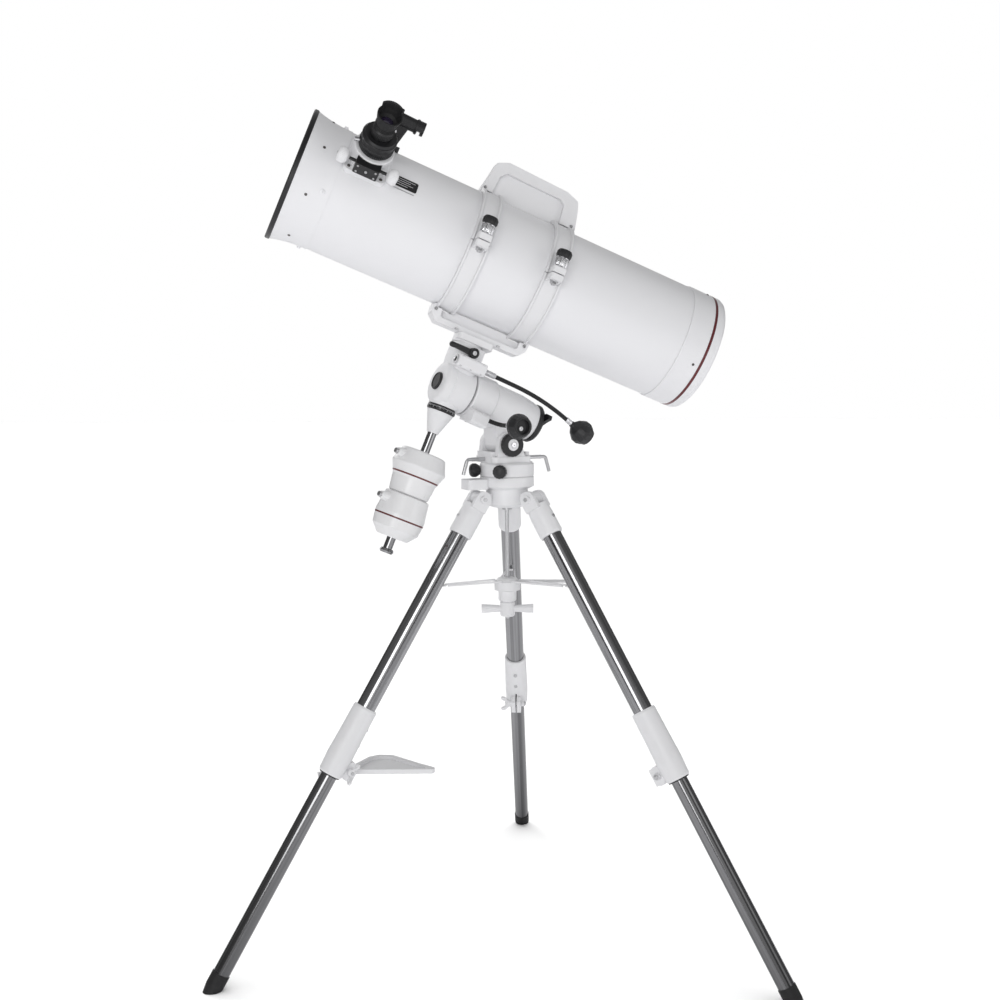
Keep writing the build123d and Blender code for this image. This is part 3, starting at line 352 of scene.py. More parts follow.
M_STEEL = make("steel", lambda nt, p: f_turned(nt, p, BASE, 0.2, 0.34, (0.52, 0.52, 0.53), (0.68, 0.68, 0.69)), bevel=0.0003)
M_DARKSTEEL = make("black_oxide", lambda nt, p: f_turned(nt, p, TUBE, 0.28, 0.4, (0.09, 0.085, 0.08), (0.2, 0.19, 0.18)))
M_PALE = make("pale_print", f_paint)
M_SILVERKNOB = make("silver_white_knob", f_cast, bevel=0.0005, wear=(GREY, 0.4), coat=0.2)


def assign(m, *names):
    for n in names:
        o = NODES[n]
        if o.data.materials:
            for i in range(len(o.data.materials)):
                o.data.materials[i] = m
        else:
            o.data.materials.append(m)


assign(M_TUBE, "main_tube")
assign(M_FCELL, "front_cell")
assign(M_RCELL, "rear_cell")
assign(M_CAST, "tripod_hub", "accessory_tray", "spreader_plate", "spreader_nut", "azimuth_base", "saddle", "cradle_bracket",
       "top_handle", "upper_rings", "focuser_base", "dec_housing", *[f"leg_castings_{n}" for n in LEG_NAMES])
assign(make("lower_rings_and_pins", f_cast, [(lambda nt, p: f_turned(nt, p, TUBE, 0.18, 0.3), lambda nt, p: mth(
    nt, "SUBTRACT", 1.0, over(nt, radial(nt, sub(TUBE, (0, -134, 0)), p), 3.2, 0.1)))], bevel=0.001, wear=(GREY, 0.55)), "lower_rings")
assign(M_IRON, "counterweight_upper", "counterweight_lower")
assign(M_PLASTIC, "azimuth_knob_front", "azimuth_knob_side", "ra_clutch_lever", "ra_slow_knob", "dec_slow_knob", "dec_clutch_lever",
       "red_dot_finder", "altitude_lock")
assign(M_BMETAL, "mirror_cell", "spider", "pinion_housing", "front_trim_ring", "dec_setting_circle")
assign(M_MIRROR, "primary_mirror", "secondary_mirror")
assign(make("shaft_chrome", lambda nt, p: f_stainless(nt, p, DEC)), "counterweight_shaft")
assign(M_CHROME, "collimation_screws")
assign(M_STEEL, "latitude_bolt_north", "latitude_bolt_south")
assign(M_STEEL, "weight_lock_upper", "weight_lock_lower")
assign(make("rod_and_painted_bolts", lambda nt, p: f_turned(nt, p, BASE, 0.2, 0.34, (0.52, 0.52, 0.53), (0.68, 0.68, 0.69)),
            [(f_cast, lambda nt, p: over(nt, radial(nt, BASE, p), 20.0))], bevel=0.0005), "hub_rod_and_bolts")
assign(make("eyepiece_black", f_black_metal, [(f_rubber, lambda nt, p: over(nt, along(nt, FOC, p), 208.2))]), "eyepiece")
assign(make("ra_housing_and_ring", f_cast, [(f_plastic, lambda nt, p: over(nt, along(nt, RA, p), 189.75))], bevel=0.001, wear=(GREY, 0.4)), "ra_housing")
assign(make("axle_and_cap", lambda nt, p: f_turned(nt, p, RA, 0.18, 0.3), [(f_plastic, lambda nt, p: mth(
    nt, "SUBTRACT", 1.0, over(nt, along(nt, RA, p), -20.0)))]), "ra_axle_and_cap")
RC = sub(RA, (-38, 45, 0))
assign(make("ra_shaft_and_cable", lambda nt, p: f_turned(nt, p, RA, 0.12, 0.22), [(f_rubber, lambda nt, p: over(nt, along(nt, RA, p), 80.1))]), "ra_cable")
DW = sub(DEC, (0, -42, 48), zd=(1, 0, 0), xd=(0, 0, 1))
assign(make("dec_shaft_and_cable", lambda nt, p: f_turned(nt, p, DW, 0.12, 0.22), [(f_rubber, lambda nt, p: over(nt, along(nt, DW, p), 62.1))]), "dec_cable")
for nm, s0 in (("front", -66.0), ("rear", 86.0)):
    kb = F(at(TUBE, 0, 139, s0), TUBE[3], TUBE[1])
    assign(make(f"clamp_{nm}", lambda nt, p, kb=kb: f_turned(nt, p, kb, 0.05, 0.12), [(f_plastic, lambda nt, p, kb=kb: over(nt, along(nt, kb, p), 33.05, 0.04))],
                bevel=0.0004), f"clamp_knob_{nm}")
PIN = sub(FOC, (0, -36, 141), zd=(1, 0, 0), xd=(0, 1, 0))
assign(make("pinion_and_knobs", f_black_metal, [(f_cast, lambda nt, p: mth(nt, "MAXIMUM", over(nt, along(nt, PIN, p), 35.9),
                                                 mth(nt, "SUBTRACT", 1.0, over(nt, along(nt, PIN, p), -35.9))))], bevel=0.0004), "focus_shaft")
assign(make("drawtube_black", f_black_metal, [(lambda nt, p: f_turned(nt, p, FOC, 0.1, 0.2), lambda nt, p: mth(
    nt, "MULTIPLY", over(nt, radial(nt, FOC, p), 32.0, 0.1), 1.0))], bevel=0.0004, wear=((0.3, 0.3, 0.3), 0.4)), "drawtube")
for f, n in zip(LEGS, LEG_NAMES):
    assign(make(f"stainless_upper_{n}", lambda nt, p, f=f: f_stainless(nt, p, f)), f"upper_tube_{n}")
    # lower legs: 0.62 is the strength of the painted shade that darkens the steel towards the foot
    assign(make(f"stainless_lower_{n}", lambda nt, p, f=f: f_stainless(nt, p, f, 0.62),
                [(f_rubber, lambda nt, p, f=f: over(nt, along(nt, f, p), LEG_LEN - 34.95))]), f"lower_leg_{n}")
    assign(M_CAST, f"leg_wing_bolt_{n}")


# ------------------------------------------------------------------ mesh pieces
class Piece:
    def __init__(self, name, body, slot, material):
        self.name, self.body, self.slot, self.material = name, body, slot, material
        self.bm = bmesh.new()

    def lathe(self, f, prof, seg=32, closed=False, start=0.0, arc=360.0):
        """prof: (radius or radius(angle in degrees), z). Ends at radius 0, or closed into a ring."""
        full = arc > 359.9
        n = seg if full else seg + 1
        rings = []
        for r, z in prof:
            if not callable(r) and abs(r) < 1e-6:
                rings.append([self.bm.verts.new(at(f, 0, 0, z) * 0.001)])
                continue
            ring = []
            for i in range(n):
                deg = start + arc * i / seg
                a = radians(deg)
                rr = r(deg) if callable(r) else r
                ring.append(self.bm.verts.new(at(f, rr * cos(a), rr * sin(a), z) * 0.001))
            rings.append(ring)
        pairs = list(zip(rings, rings[1:])) + ([(rings[-1], rings[0])] if closed else [])
        for A, B in pairs:
            m = max(len(A), len(B))
            for i in range(m if full else m - 1):
                j = (i + 1) % m
                q = [A[i % len(A)], A[j % len(A)], B[j % len(B)], B[i % len(B)]] if len(A) > 1 and len(B) > 1 else (
                    [A[0], B[j], B[i]] if len(A) == 1 else [A[i], A[j], B[0]])
                self.bm.faces.new(q)
        if not full:
            for k in (0, -1):
                self.bm.faces.new([r[k] for r in rings])
        return self

    def prism(self, f, pts, z0, z1, cham=0.0):
        """A polygon in a frame's x-y plane, raised from z0 to z1, with a chamfer at its top."""
        cx, cy = sum(q[0] for q in pts) / len(pts), sum(q[1] for q in pts) / len(pts)

        def ring(z, inset):
            out = []
            for x, y in pts:
                r = hypot(x - cx, y - cy)
                k = 1 - inset / r
                out.append(self.bm.verts.new(at(f, cx + (x - cx) * k, cy + (y - cy) * k, z) * 0.001))
            return out
        levels = [ring(z0, 0), ring(z1 - cham, 0)] + ([ring(z1, cham)] if cham else [])
        for A, B in zip(levels, levels[1:]):
            for i in range(len(A)):
                j = (i + 1) % len(A)
                self.bm.faces.new([A[i], A[j], B[j], B[i]])
        self.bm.faces.new(levels[0][::-1])
        self.bm.faces.new(levels[-1])
        return self

    def plate(self, f, z0, z1, a0, a1, r0, r1, corner=3.0, nz=20, na=12):
        """A curved plate with rounded corners on a cylinder around the frame's z."""
        hz, ha = (z1 - z0) / 2, radians(a1 - a0) / 2 * r1
        cz, ca = (z0 + z1) / 2, radians(a0 + a1) / 2
        cols = []
        for i in range(nz + 1):
            t = -cos(pi * i / nz) * hz
            over_ = max(0.0, abs(t) - (hz - corner))
            h = ha - corner + sqrt(max(corner ** 2 - over_ ** 2, 0.0))
            cols.append((t, h))
        grids = []
        for r in (r0, r1):
            g = []
            for t, h in cols:
                row = []
                for j in range(na + 1):
                    a = ca + (-h + 2 * h * j / na) / r1
                    row.append(self.bm.verts.new(at(f, r * cos(a), r * sin(a), cz + t) * 0.001))
                g.append(row)
            grids.append(g)
        lo, hi = grids
        for i in range(nz):
            for j in range(na):
                self.bm.faces.new([hi[i][j], hi[i + 1][j], hi[i + 1][j + 1], hi[i][j + 1]])
                self.bm.faces.new([lo[i][j], lo[i][j + 1], lo[i + 1][j + 1], lo[i + 1][j]])
        edge = [(i, 0) for i in range(nz)] + [(nz, j) for j in range(na)] + [(i, na) for i in range(nz, 0, -1)] + [(0, j) for j in range(na, 0, -1)]
        for (a, b), (c, d) in zip(edge, edge[1:] + edge[:1]):
            self.bm.faces.new([lo[a][b], lo[c][d], hi[c][d], hi[a][b]])
        return self

    def tube(self, pts, r, seg=12):
        """A round bar along points (mm), with flat ends."""
        rings = []
        up = None
        for i, q in enumerate(pts):
            t = (pts[min(i + 1, len(pts) - 1)] - pts[max(i - 1, 0)]).normalized()
            if up is None:
                up = t.orthogonal().normalized()
            u = (up - t * up.dot(t)).normalized()
            up = u
            v = t.cross(u)
            rings.append([self.bm.verts.new((q + (u * cos(2 * pi * k / seg) + v * sin(2 * pi * k / seg)) * r) * 0.001) for k in range(seg)])
        for A, B in zip(rings, rings[1:]):
            for i in range(seg):
                j = (i + 1) % seg
                self.bm.faces.new([A[i], A[j], B[j], B[i]])
        self.bm.faces.new(rings[0][::-1])
        self.bm.faces.new(rings[-1])
        return self

    def socket(self, f, r, h, key=None):
        """Socket-head screw with a hexagonal recess."""
        key = key or r * 0.48

        def hexr(deg):
            return key / cos(radians((deg % 60) - 30))
        return self.lathe(f, [(0, -0.6), (r, -0.6), (r, h - 0.12 * r), (r * 0.9, h), (hexr, h), (hexr, h * 0.45), (0, h * 0.4)], 36)

    def pan(self, f, r, h):
        """Domed screw with a cross recess cut as a four-lobed dish."""
        def cross(deg):
            k = abs(cos(radians(2 * deg)))
            return r * (0.12 + 0.46 * k ** 5)
        return self.lathe(f, [(0, -0.5), (r, -0.5), (r, h * 0.35), (r * 0.86, h * 0.75), (r * 0.68, h * 0.96), (cross, h), (cross, h * 0.55), (0, h * 0.4)], 48)

    def hexhead(self, f, r, h, hole=True):
        pts = [(r * cos(radians(a)), r * sin(radians(a))) for a in range(0, 360, 60)]
        self.prism(f, pts, 0, h, 0.1 * r)
        if hole:
            self.lathe(sub(f, (0, 0, h)), [(0, -0.3), (r * 0.55, -0.3), (r * 0.55, r * 0.2), (r * 0.4, r * 0.3), (0, r * 0.3)], 24)
        return self

    def done(self):
        bm = self.bm
        bmesh.ops.recalc_face_normals(bm, faces=bm.faces)
        for e in bm.edges:
            e.smooth = len(e.link_faces) == 2 and e.calc_face_angle(0.0) < radians(32)
        for q in bm.faces:
            q.smooth = True
        me = bpy.data.meshes.new(self.name)
        bm.to_mesh(me)
        bm.free()
        o = bpy.data.objects.new(self.name, me)
        bpy.context.scene.collection.objects.link(o)
        me.materials.append(self.material)
        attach(o, self.body)
        return o


def ribs(r, n, depth, duty=0.5):
    """A ribbed radius."""
    def g(deg):
        t = (deg * n / 360.0) % 1.0
        return r + depth * (0.5 + 0.5 * cos(2 * pi * t)) ** duty
    return g


# ---- optical tube: label plate, screws, stripe
P = Piece("label_plate", "optical_tube", "black_plastic", M_PLASTIC)
P.plate(TUBE, -253, -208, 61.2, 72.0, 115.8, 116.7, 3.0).done()
P = Piece("label_rules", "optical_tube", "white_paint", M_PALE)
for k, (za, zb) in enumerate(((-248, -213), (-248, -222), (-248, -216), (-248, -226))):
    a = 63.4 + 2.1 * k
    P.plate(TUBE, za, zb, a - 0.17, a + 0.17, 116.6, 116.8, 0.2, 8, 2)
P.done()
P = Piece("label_underline", "optical_tube", "stainless", M_STEEL)
P.plate(TUBE, -251, -210, 74.0, 74.8, 115.8, 116.25, 0.3, 8, 2).done()

P = Piece("front_cell_screws", "optical_tube", "steel", M_DARKSTEEL)
for k in range(8):
    P.pan(around(TUBE, -390, 113 + 45 * k + (4 if k == 1 else 0), 119.1), 2.7, 1.5)
P.done()
P = Piece("rear_cell_screws", "optical_tube", "steel", M_DARKSTEEL)
for k in range(4):
    P.pan(around(TUBE, 410, 112 + 90 * k, 118.0), 2.6, 1.5)
P.done()
P = Piece("rear_stripe", "optical_tube", "white_paint", M_RED)
P.lathe(TUBE, [(117.6, 421.2), (118.25, 421.4), (118.35, 422), (118.35, 426.2), (118.25, 426.8), (117.6, 427)], 160, closed=True).done()
P = Piece("spider_screws", "optical_tube", "white_paint", M_PAINT)
for a in (60 + 45, 60 + 135, 60 + 225, 60 + 315):
    P.lathe(around(TUBE, -364, a, 117.0), [(0, -0.5), (5.2, -0.5), (5.2, 0.9), (4.4, 1.3), (0, 1.3)], 28)
    P.socket(around(TUBE, -364, a, 118.3), 3.4, 3.0)
P.done()
P = Piece("secondary_screws", "optical_tube", "steel", M_STEEL)
HUBF = sub(TUBE, (0, 0, -376), zd=(0, 0, -1), xd=(1, 0, 0))
P.socket(HUBF, 4.2, 3.2)
for a in (30, 150, 270):
    P.socket(sub(HUBF, (11 * cos(radians(a)), 11 * sin(radians(a)), 0)), 2.6, 2.2)
P.done()
P = Piece("mirror_centre_mark", "optical_tube", "white_paint", M_PALE)
P.lathe(sub(TUBE, (0, 0, 354.9), zd=(0, 0, -1)), [(3.0, -0.3), (3.0, 0.25), (5.4, 0.25), (5.4, -0.3)], 36, closed=True).done()
P = Piece("focuser_base_screws", "optical_tube", "steel", M_DARKSTEEL)
for sx in (-1, 1):
    for sy in (-1, 1):
        P.pan(sub(FOC, (31 * sx, 34 * sy, 120)), 3.1, 1.7)
P.done()
P = Piece("pinion_block_screws", "optical_tube", "steel", M_STEEL)
for sx in (-1, 1):
    for h in (133.5, 147.5):
        P.pan(sub(FOC, (17 * sx, -52, h), zd=(0, -1, 0), xd=(1, 0, 0)), 2.1, 1.3)
P.socket(sub(FOC, (0, -52, 141), zd=(0, -1, 0), xd=(1, 0, 0)), 2.6, 1.6)
P.done()
P = Piece("collar_lip", "optical_tube", "white_cast", M_CAST)
P.lathe(FOC, [(38.2, 120.4), (41.2, 120.4), (41.6, 121), (41.6, 123.6), (41.0, 124.4), (38.2, 124.4)], 96, closed=True).done()

# ---- focuser: ribs on the barrel, knurls on the knobs, eyepiece rings and lens
P = Piece("barrel_grip", "drawtube", "black_metal", M_BMETAL)
P.lathe(FOC, [(31.2, 158.5), (ribs(31.8, 54, 0.25), 158.9), (ribs(31.9, 54, 1.2), 160), (ribs(31.9, 54, 1.2), 171), (ribs(31.8, 54, 0.25), 172), (31.2, 172.4)], 432, closed=True)
P.lathe(FOC, [(31.2, 180), (32.6, 180.4), (32.9, 181), (32.9, 184), (32.6, 184.6), (31.2, 185)], 96, closed=True)
P.done()
P = Piece("eyepiece_knurl", "eyepiece", "black_plastic", M_RUBBER)
P.lathe(FOC, [(19.2, 193.2), (ribs(19.6, 40, 0.2), 193.6), (ribs(19.7, 40, 1.1), 194.6), (ribs(19.7, 40, 1.1), 203.6), (ribs(19.6, 40, 0.2), 204.6), (19.2, 205)], 320, closed=True)
for z in (210, 213.4, 216.8):
    r0 = 18 + (z - 208) / 14.0
    P.lathe(FOC, [(r0 - 0.6, z - 1.0), (r0 + 0.9, z - 0.5), (r0 + 0.9, z + 0.5), (r0 - 0.6, z + 1.0)], 80, closed=True)
P.done()
P = Piece("eye_lens", "eyepiece", "mirror", make("coated_lens", lambda nt, p: (mixc(nt, noise(nt, p, 40.0, 2, seed=40), (0.012, 0.010, 0.03), (0.03, 0.016, 0.05)), remap(nt, noise(nt, p, 900.0, 4, seed=41), 0.4, 0.8, 0.03, 0.09), 0.0, mth(nt, "MULTIPLY", noise(nt, p, 50.0, 2, seed=42), 0.000001)), coat=1.0, spec=0.8, coat_rough=0.02))
P.lathe(FOC, [(0, 221.5), (11.2, 221.5), (11.2, 222.8), (9.0, 223.9), (6.0, 224.7), (3.0, 225.1), (0, 225.25)], 64).done()
P = Piece("focus_knob_knurls", "focus_shaft", "chrome", M_SILVERKNOB)
for s in (1, -1):
    q = sub(PIN, (0, 0, 0), zd=(0, 0, s), xd=(0, 1, 0))
    P.lathe(q, [(13.4, 44.2), (ribs(13.9, 30, 0.1), 44.6), (ribs(13.9, 30, 0.8), 45.6), (ribs(13.9, 30, 0.8), 52.6), (ribs(13.9, 30, 0.1), 53.6), (13.4, 53.9)], 240, closed=True)
    P.lathe(q, [(0, 56.6), (7.4, 56.6), (7.4, 57.4), (6.2, 57.8), (0, 57.8)], 40)
P.done()
P = Piece("focus_knob_screws", "focus_shaft", "steel", M_STEEL)
for s in (1, -1):
    P.socket(sub(PIN, (0, 0, 57.8 * s), zd=(0, 0, s), xd=(0, 1, 0)), 3.0, 1.2)
P.done()

# ---- red-dot finder details
FBX = sub(FIN, (0, 0, 175), zd=(1, 0, 0), xd=(0, 1, 0))
P = Piece("finder_fittings", "optical_tube", "steel", M_STEEL)
P.socket(sub(FIN, (-14, 17, 121), zd=(0, 1, 0), xd=(1, 0, 0)), 3.0, 2.2)
P.socket(sub(FIN, (14, 17, 121), zd=(0, 1, 0), xd=(1, 0, 0)), 3.0, 2.2)
P.socket(sub(FIN, (2, 9.2, 140), zd=(0, 1, 0), xd=(1, 0, 0)), 4.2, 3.4)
P.socket(sub(FIN, (-10, 12.6, 163), zd=(0, 1, 0), xd=(1, 0, 0)), 4.0, 4.0)
P.socket(sub(FIN, (14, 12.6, 170), zd=(0, 1, 0), xd=(1, 0, 0)), 3.0, 3.0)
P.done()
P = Piece("finder_dial", "optical_tube", "black_plastic", M_PLASTIC)
P.lathe(sub(FBX, (0, 0, 0), zd=(0, 1, 0), xd=(1, 0, 0)), [(0, 13), (ribs(8.4, 24, 0.2), 13), (ribs(8.4, 24, 0.8), 13.8), (ribs(8.4, 24, 0.8), 18.5), (ribs(8.0, 24, 0.1), 19.4), (0, 19.4)], 192)
P.lathe(FBX, [(13.2, 39), (14.4, 39.4), (14.6, 40), (14.6, 42.6), (14.4, 43.2), (13.2, 43.6)], 60, closed=True)
P.done()

# ---- cradle: felt, nuts, clamp knob flutes and grips, screws
for nm, s, body in (("upper", 1, "upper_cradle"), ("lower", -1, "saddle_body")):
    P = Piece(f"felt_{nm}", body, "rubber", M_FELT)
    for s0 in (-66.0, 86.0):
        a0 = -84 if s > 0 else 96
        P.lathe(sub(TUBE, (0, 0, s0)), [(116.08, -18.6), (116.42, -18.6), (116.42, 18.6), (116.08, 18.6)], 80, closed=True, start=a0, arc=168)
    P.done()
P = Piece("clamp_nuts", "saddle_body", "steel", M_STEEL)
for s0 in (-66.0, 86.0):
    q = F(at(TUBE, -13.0, 139, s0), TUBE[3], -TUBE[1])
    P.lathe(q, [(0, -0.1), (8.6, -0.1), (8.6, 1.0), (8.2, 1.4), (0, 1.4)], 40)
    P.hexhead(sub(q, (0, 0, 1.4)), 7.4, 5.0)
P.done()
P = Piece("clamp_barrel_flutes", "clamp_front", "chrome", M_CHROME)
Q = Piece("clamp_barrel_flutes_rear", "clamp_rear", "chrome", M_CHROME)
for piece, s0 in ((P, -66.0), (Q, 86.0)):
    kb = F(at(TUBE, 0, 139, s0), TUBE[3], TUBE[1])
    piece.lathe(kb, [(11.8, 16), (ribs(12.25, 30, 0.1), 16.4), (ribs(12.25, 30, 0.7), 17.4), (ribs(12.25, 30, 0.7), 30.4), (ribs(12.25, 30, 0.1), 31.4), (11.8, 31.8)], 240, closed=True)
    piece.done()
P = Piece("clamp_cap_front_grip", "clamp_front", "black_plastic", M_PLASTIC)
Q = Piece("clamp_cap_rear_grip", "clamp_rear", "black_plastic", M_PLASTIC)
for piece, s0 in ((P, -66.0), (Q, 86.0)):
    kb = F(at(TUBE, 0, 139, s0), TUBE[3], TUBE[1])
    piece.lathe(kb, [(13.4, 35.2), (ribs(13.95, 18, 0.1), 35.6), (ribs(13.95, 18, 0.9), 36.6), (ribs(13.95, 18, 0.9), 43.4), (ribs(13.95, 18, 0.1), 44.6), (13.4, 45)], 216, closed=True)
    piece.done()
P = Piece("handle_screws", "upper_cradle", "steel", M_STEEL)
for s0 in (-66.0, 86.0):
    for sy in (-1, 1):
        P.socket(F(at(TUBE, 128, 14.0 * sy, s0 + (-14 if s0 < 0 else 20)), TUBE[3], TUBE[2] * sy), 3.2, 1.6)
P.done()
P = Piece("bracket_screws", "saddle_body", "steel", M_STEEL)
for z in (-34, 54):
    P.socket(F(at(TUBE, -150.2, 26, z), TUBE[3], TUBE[1]), 4.0, 3.0)
for z in (-84, 104):
    P.socket(F(at(TUBE, -127, 19.0, z), TUBE[3], TUBE[2]), 3.4, 1.8)
P.done()

# ---- declination body
P = Piece("worm_end_caps", "declination_body", "steel", M_STEEL)
q = sub(DEC, (-28, -42, 48), zd=(-1, 0, 0), xd=(0, 0, 1))
P.lathe(q, [(0, -0.5), (9.4, -0.5), (9.4, 1.4), (8.8, 2.0), (6.2, 2.0), (5.4, 0.6), (0, 0.6)], 48)
P.lathe(sub(DEC, (34, -42, 48), zd=(1, 0, 0), xd=(0, 0, 1)), [(4.3, -0.5), (9.0, -0.5), (9.0, 1.6), (8.4, 2.2), (4.3, 2.2)], 48, closed=True)
P.lathe(DW, [(4.6, 40), (5.9, 40.4), (5.9, 52), (5.6, 52.6), (5.6, 60.8), (4.9, 62)], 40, closed=True)
P.done()
P = Piece("worm_end_dark", "declination_body", "black_plastic", M_LINING)
P.lathe(q, [(0, 0.4), (4.6, 0.4), (4.2, 1.0), (0, 1.0)], 36).done()
P = Piece("dec_bolts", "declination_body", "steel", M_STEEL)
for x in (-20, 3, 26):
    P.socket(sub(DEC, (x, -54, 39.5), zd=(0, -1, 0), xd=(1, 0, 0)), 2.6, 1.4)
for x in (-20, 26):
    P.socket(sub(DEC, (x, -54, 56.5), zd=(0, -1, 0), xd=(1, 0, 0)), 2.6, 1.4)
P.done()
P = Piece("dec_seam", "declination_body", "white_cast", M_CAST)
P.lathe(sub(DEC, (0, 0, 0), zd=(1, 0, 0), xd=(0, 0, 1)), [(42.6, -12.4), (43.7, -12), (43.9, -11.4), (43.9, -9.4), (43.7, -8.8), (42.6, -8.4)], 128, closed=True).done()
ca = radians(14)
ex, ez = -517.0 * (1 - cos(ca)) - 22.4 * sin(ca), 110 + 517.0 * sin(ca) + 22.4 * cos(ca)
DK = sub(DW, (ex, 0, ez), zd=(-sin(ca), 0, cos(ca)), xd=(cos(ca), 0, sin(ca)))
P = Piece("dec_cable_ferrule", "declination_body", "chrome", M_CHROME)
P.lathe(DK, [(4.0, -15), (5.4, -14.6), (5.4, -9), (5.0, -8.6), (5.0, -7.4), (5.4, -7), (5.4, -1.2), (4.9, -0.6), (4.0, -0.6)], 40, closed=True).done()
RK = sub(RC, (0, 52.4, 104), zd=(0, 1, 0), xd=(1, 0, 0))
P = Piece("ra_cable_ferrule", "polar_body", "chrome", M_CHROME)
P.lathe(RK, [(4.0, -13), (5.4, -12.6), (5.4, -1.2), (4.9, -0.6), (4.0, -0.6)], 40, closed=True)
P.lathe(sub(RC, (0, 0, 0)), [(3.9, 74.2), (6.0, 74.2), (6.0, 79), (5.5, 79.6), (3.9, 79.6)], 40, closed=True)
P.done()
P = Piece("dec_knob_ribs", "dec_knob", "black_plastic", M_PLASTIC)
P.lathe(DK, [(ribs(16.2, 12, 0.1), 14.4), (ribs(19.4, 12, 1.2, 1.6), 19.5), (ribs(23.4, 12, 1.5, 1.6), 27.5), (ribs(23.4, 12, 1.5, 1.6), 33.5), (ribs(20.2, 12, 1.3, 1.6), 41.5), (ribs(16.6, 12, 0.1), 49), (15.5, 48), (15.5, 16)], 240, closed=True)
P.lathe(DK, [(0, 49.6), (11, 49.6), (11, 50.4), (9.5, 51.2), (0, 51.4)], 48)
P.done()
P = Piece("ra_knob_ribs", "ra_knob", "black_plastic", M_PLASTIC)
P.lathe(RK, [(ribs(18.2, 16, 0.1), 15.4), (ribs(23.5, 16, 0.9, 1.4), 26.5), (ribs(23.5, 16, 0.9, 1.4), 33.5), (ribs(20.4, 16, 0.8, 1.4), 41.2), (ribs(18.2, 16, 0.1), 45.8), (17.2, 45.2), (17.2, 16.2)], 256, closed=True)
P.lathe(RK, [(14.3, 44.4), (14.3, 47.3), (15.1, 48.0), (18.0, 48.0), (18.8, 46.9), (18.6, 45.4)], 72, closed=True)
P.done()
P = Piece("ra_knob_screw", "ra_knob", "steel", M_STEEL)
P.socket(sub(RK, (-4, 0, 40)), 4.4, 2.6)
P.done()
P = Piece("polar_cap_rim", "declination_body", "black_plastic", M_PLASTIC)
P.lathe(sub(DEC, (-32.6, 0, 0), zd=(-1, 0, 0), xd=(0, 1, 0)), [(14.0, -0.4), (14.0, 0.7), (14.6, 1.1), (16.0, 1.1), (16.6, 0.3), (16.6, -0.4)], 72, closed=True).done()

# ---- setting circle: graduations only
P = Piece("circle_graduations", "dec_circle", "white_paint", M_PALE)
for k in range(72):
    a = 5.0 * k
    long = 5.6 if k % 6 == 0 else (4.0 if k % 3 == 0 else 2.6)
    P.plate(DEC, -45.6 - long, -45.6, a - 0.45, a + 0.45, 28.2, 28.72, 0.1, 2, 2)
P.done()

# ---- declination lever: round end and screw
DL = sub(DEC, (3, 0, 72), zd=(0, -1, 0), xd=(-1, 0, 0))
P = Piece("dec_lever_hub", "dec_lever", "black_plastic", M_PLASTIC)
P.lathe(DL, [(0, 41), (9.6, 32.6), (10.2, 34), (10.2, 43.4), (9.2, 44.6), (6.2, 44.6), (5.6, 43.2), (0, 43.2)][1:], 56)
P.lathe(sub(DL, (46, 0.8, 37.5), zd=(1, 0.02, 0), xd=(0, 1, 0)), [(0, -10), (3.6, -9), (5.0, -5), (5.6, 0), (5.0, 4.4), (3.0, 6.6), (0, 7.2)], 32)
P.done()
P = Piece("dec_lever_screw", "dec_lever", "steel", M_STEEL)
P.socket(sub(DL, (0, 0, 43.0)), 4.6, 2.4)
P.done()
RL = sub(RA, (0, 0, 204))
P = Piece("ra_lever_screw", "ra_lever", "steel", M_STEEL)
P.socket(sub(RL, (0, 0, 7)), 4.6, 3.0)
P.socket(sub(RL, (17.5, 37, 7)), 3.4, 2.2)
P.done()

# ---- altitude lock centre, azimuth knob grips, fork screws
q = sub(MER, (-14.0, 0, 998.0), zd=(0, -1, 0), xd=(1, 0, 0))
P = Piece("altitude_centre", "altitude_lock", "white_cast", M_SILVERKNOB)
P.lathe(q, [(0, 50.6), (11.6, 50.6), (11.6, 54.2), (10.8, 55.2), (7.4, 55.8), (6.6, 54.6), (0, 54.6)], 56).done()
P = Piece("altitude_screw", "altitude_lock", "chrome", M_CHROME)
P.socket(sub(q, (0, 0, 54.4)), 5.0, 2.6)
P.done()
P = Piece("altitude_ring_ribs", "altitude_lock", "black_plastic", M_PLASTIC)
P.lathe(q, [(22.4, 44.8), (ribs(22.9, 20, 0.1), 45.2), (ribs(22.9, 20, 0.9), 46.2), (ribs(22.9, 20, 0.9), 51.4), (ribs(22.9, 20, 0.1), 52.6), (22.4, 53)], 240, closed=True).done()
for a, nm in ((258.0, "front"), (192.0, "side")):
    qa = sub(BASE, (0, 0, 946), zd=(cos(radians(a)), sin(radians(a)), 0), xd=(0, 0, 1))
    P = Piece(f"azimuth_grip_{nm}", f"azimuth_knob_{nm}", "black_plastic", M_PLASTIC)
    P.lathe(qa, [(12.2, 61.4), (ribs(12.7, 14, 0.1), 61.8), (ribs(12.7, 14, 1.0), 63), (ribs(12.7, 14, 1.0), 70), (ribs(12.5, 14, 0.1), 71.6), (12.2, 71.8)], 168, closed=True)
    P.lathe(qa, [(0, 74.6), (7.6, 74.6), (7.6, 75.4), (6.4, 76), (0, 76.2)], 40)
    P.done()
P = Piece("fork_screws", "mount_base", "steel", M_STEEL)
for x in (-40, 24):
    for y in (-34, 34):
        P.socket(sub(MER, (x, y, 974)), 3.2, 2.2)
P.done()

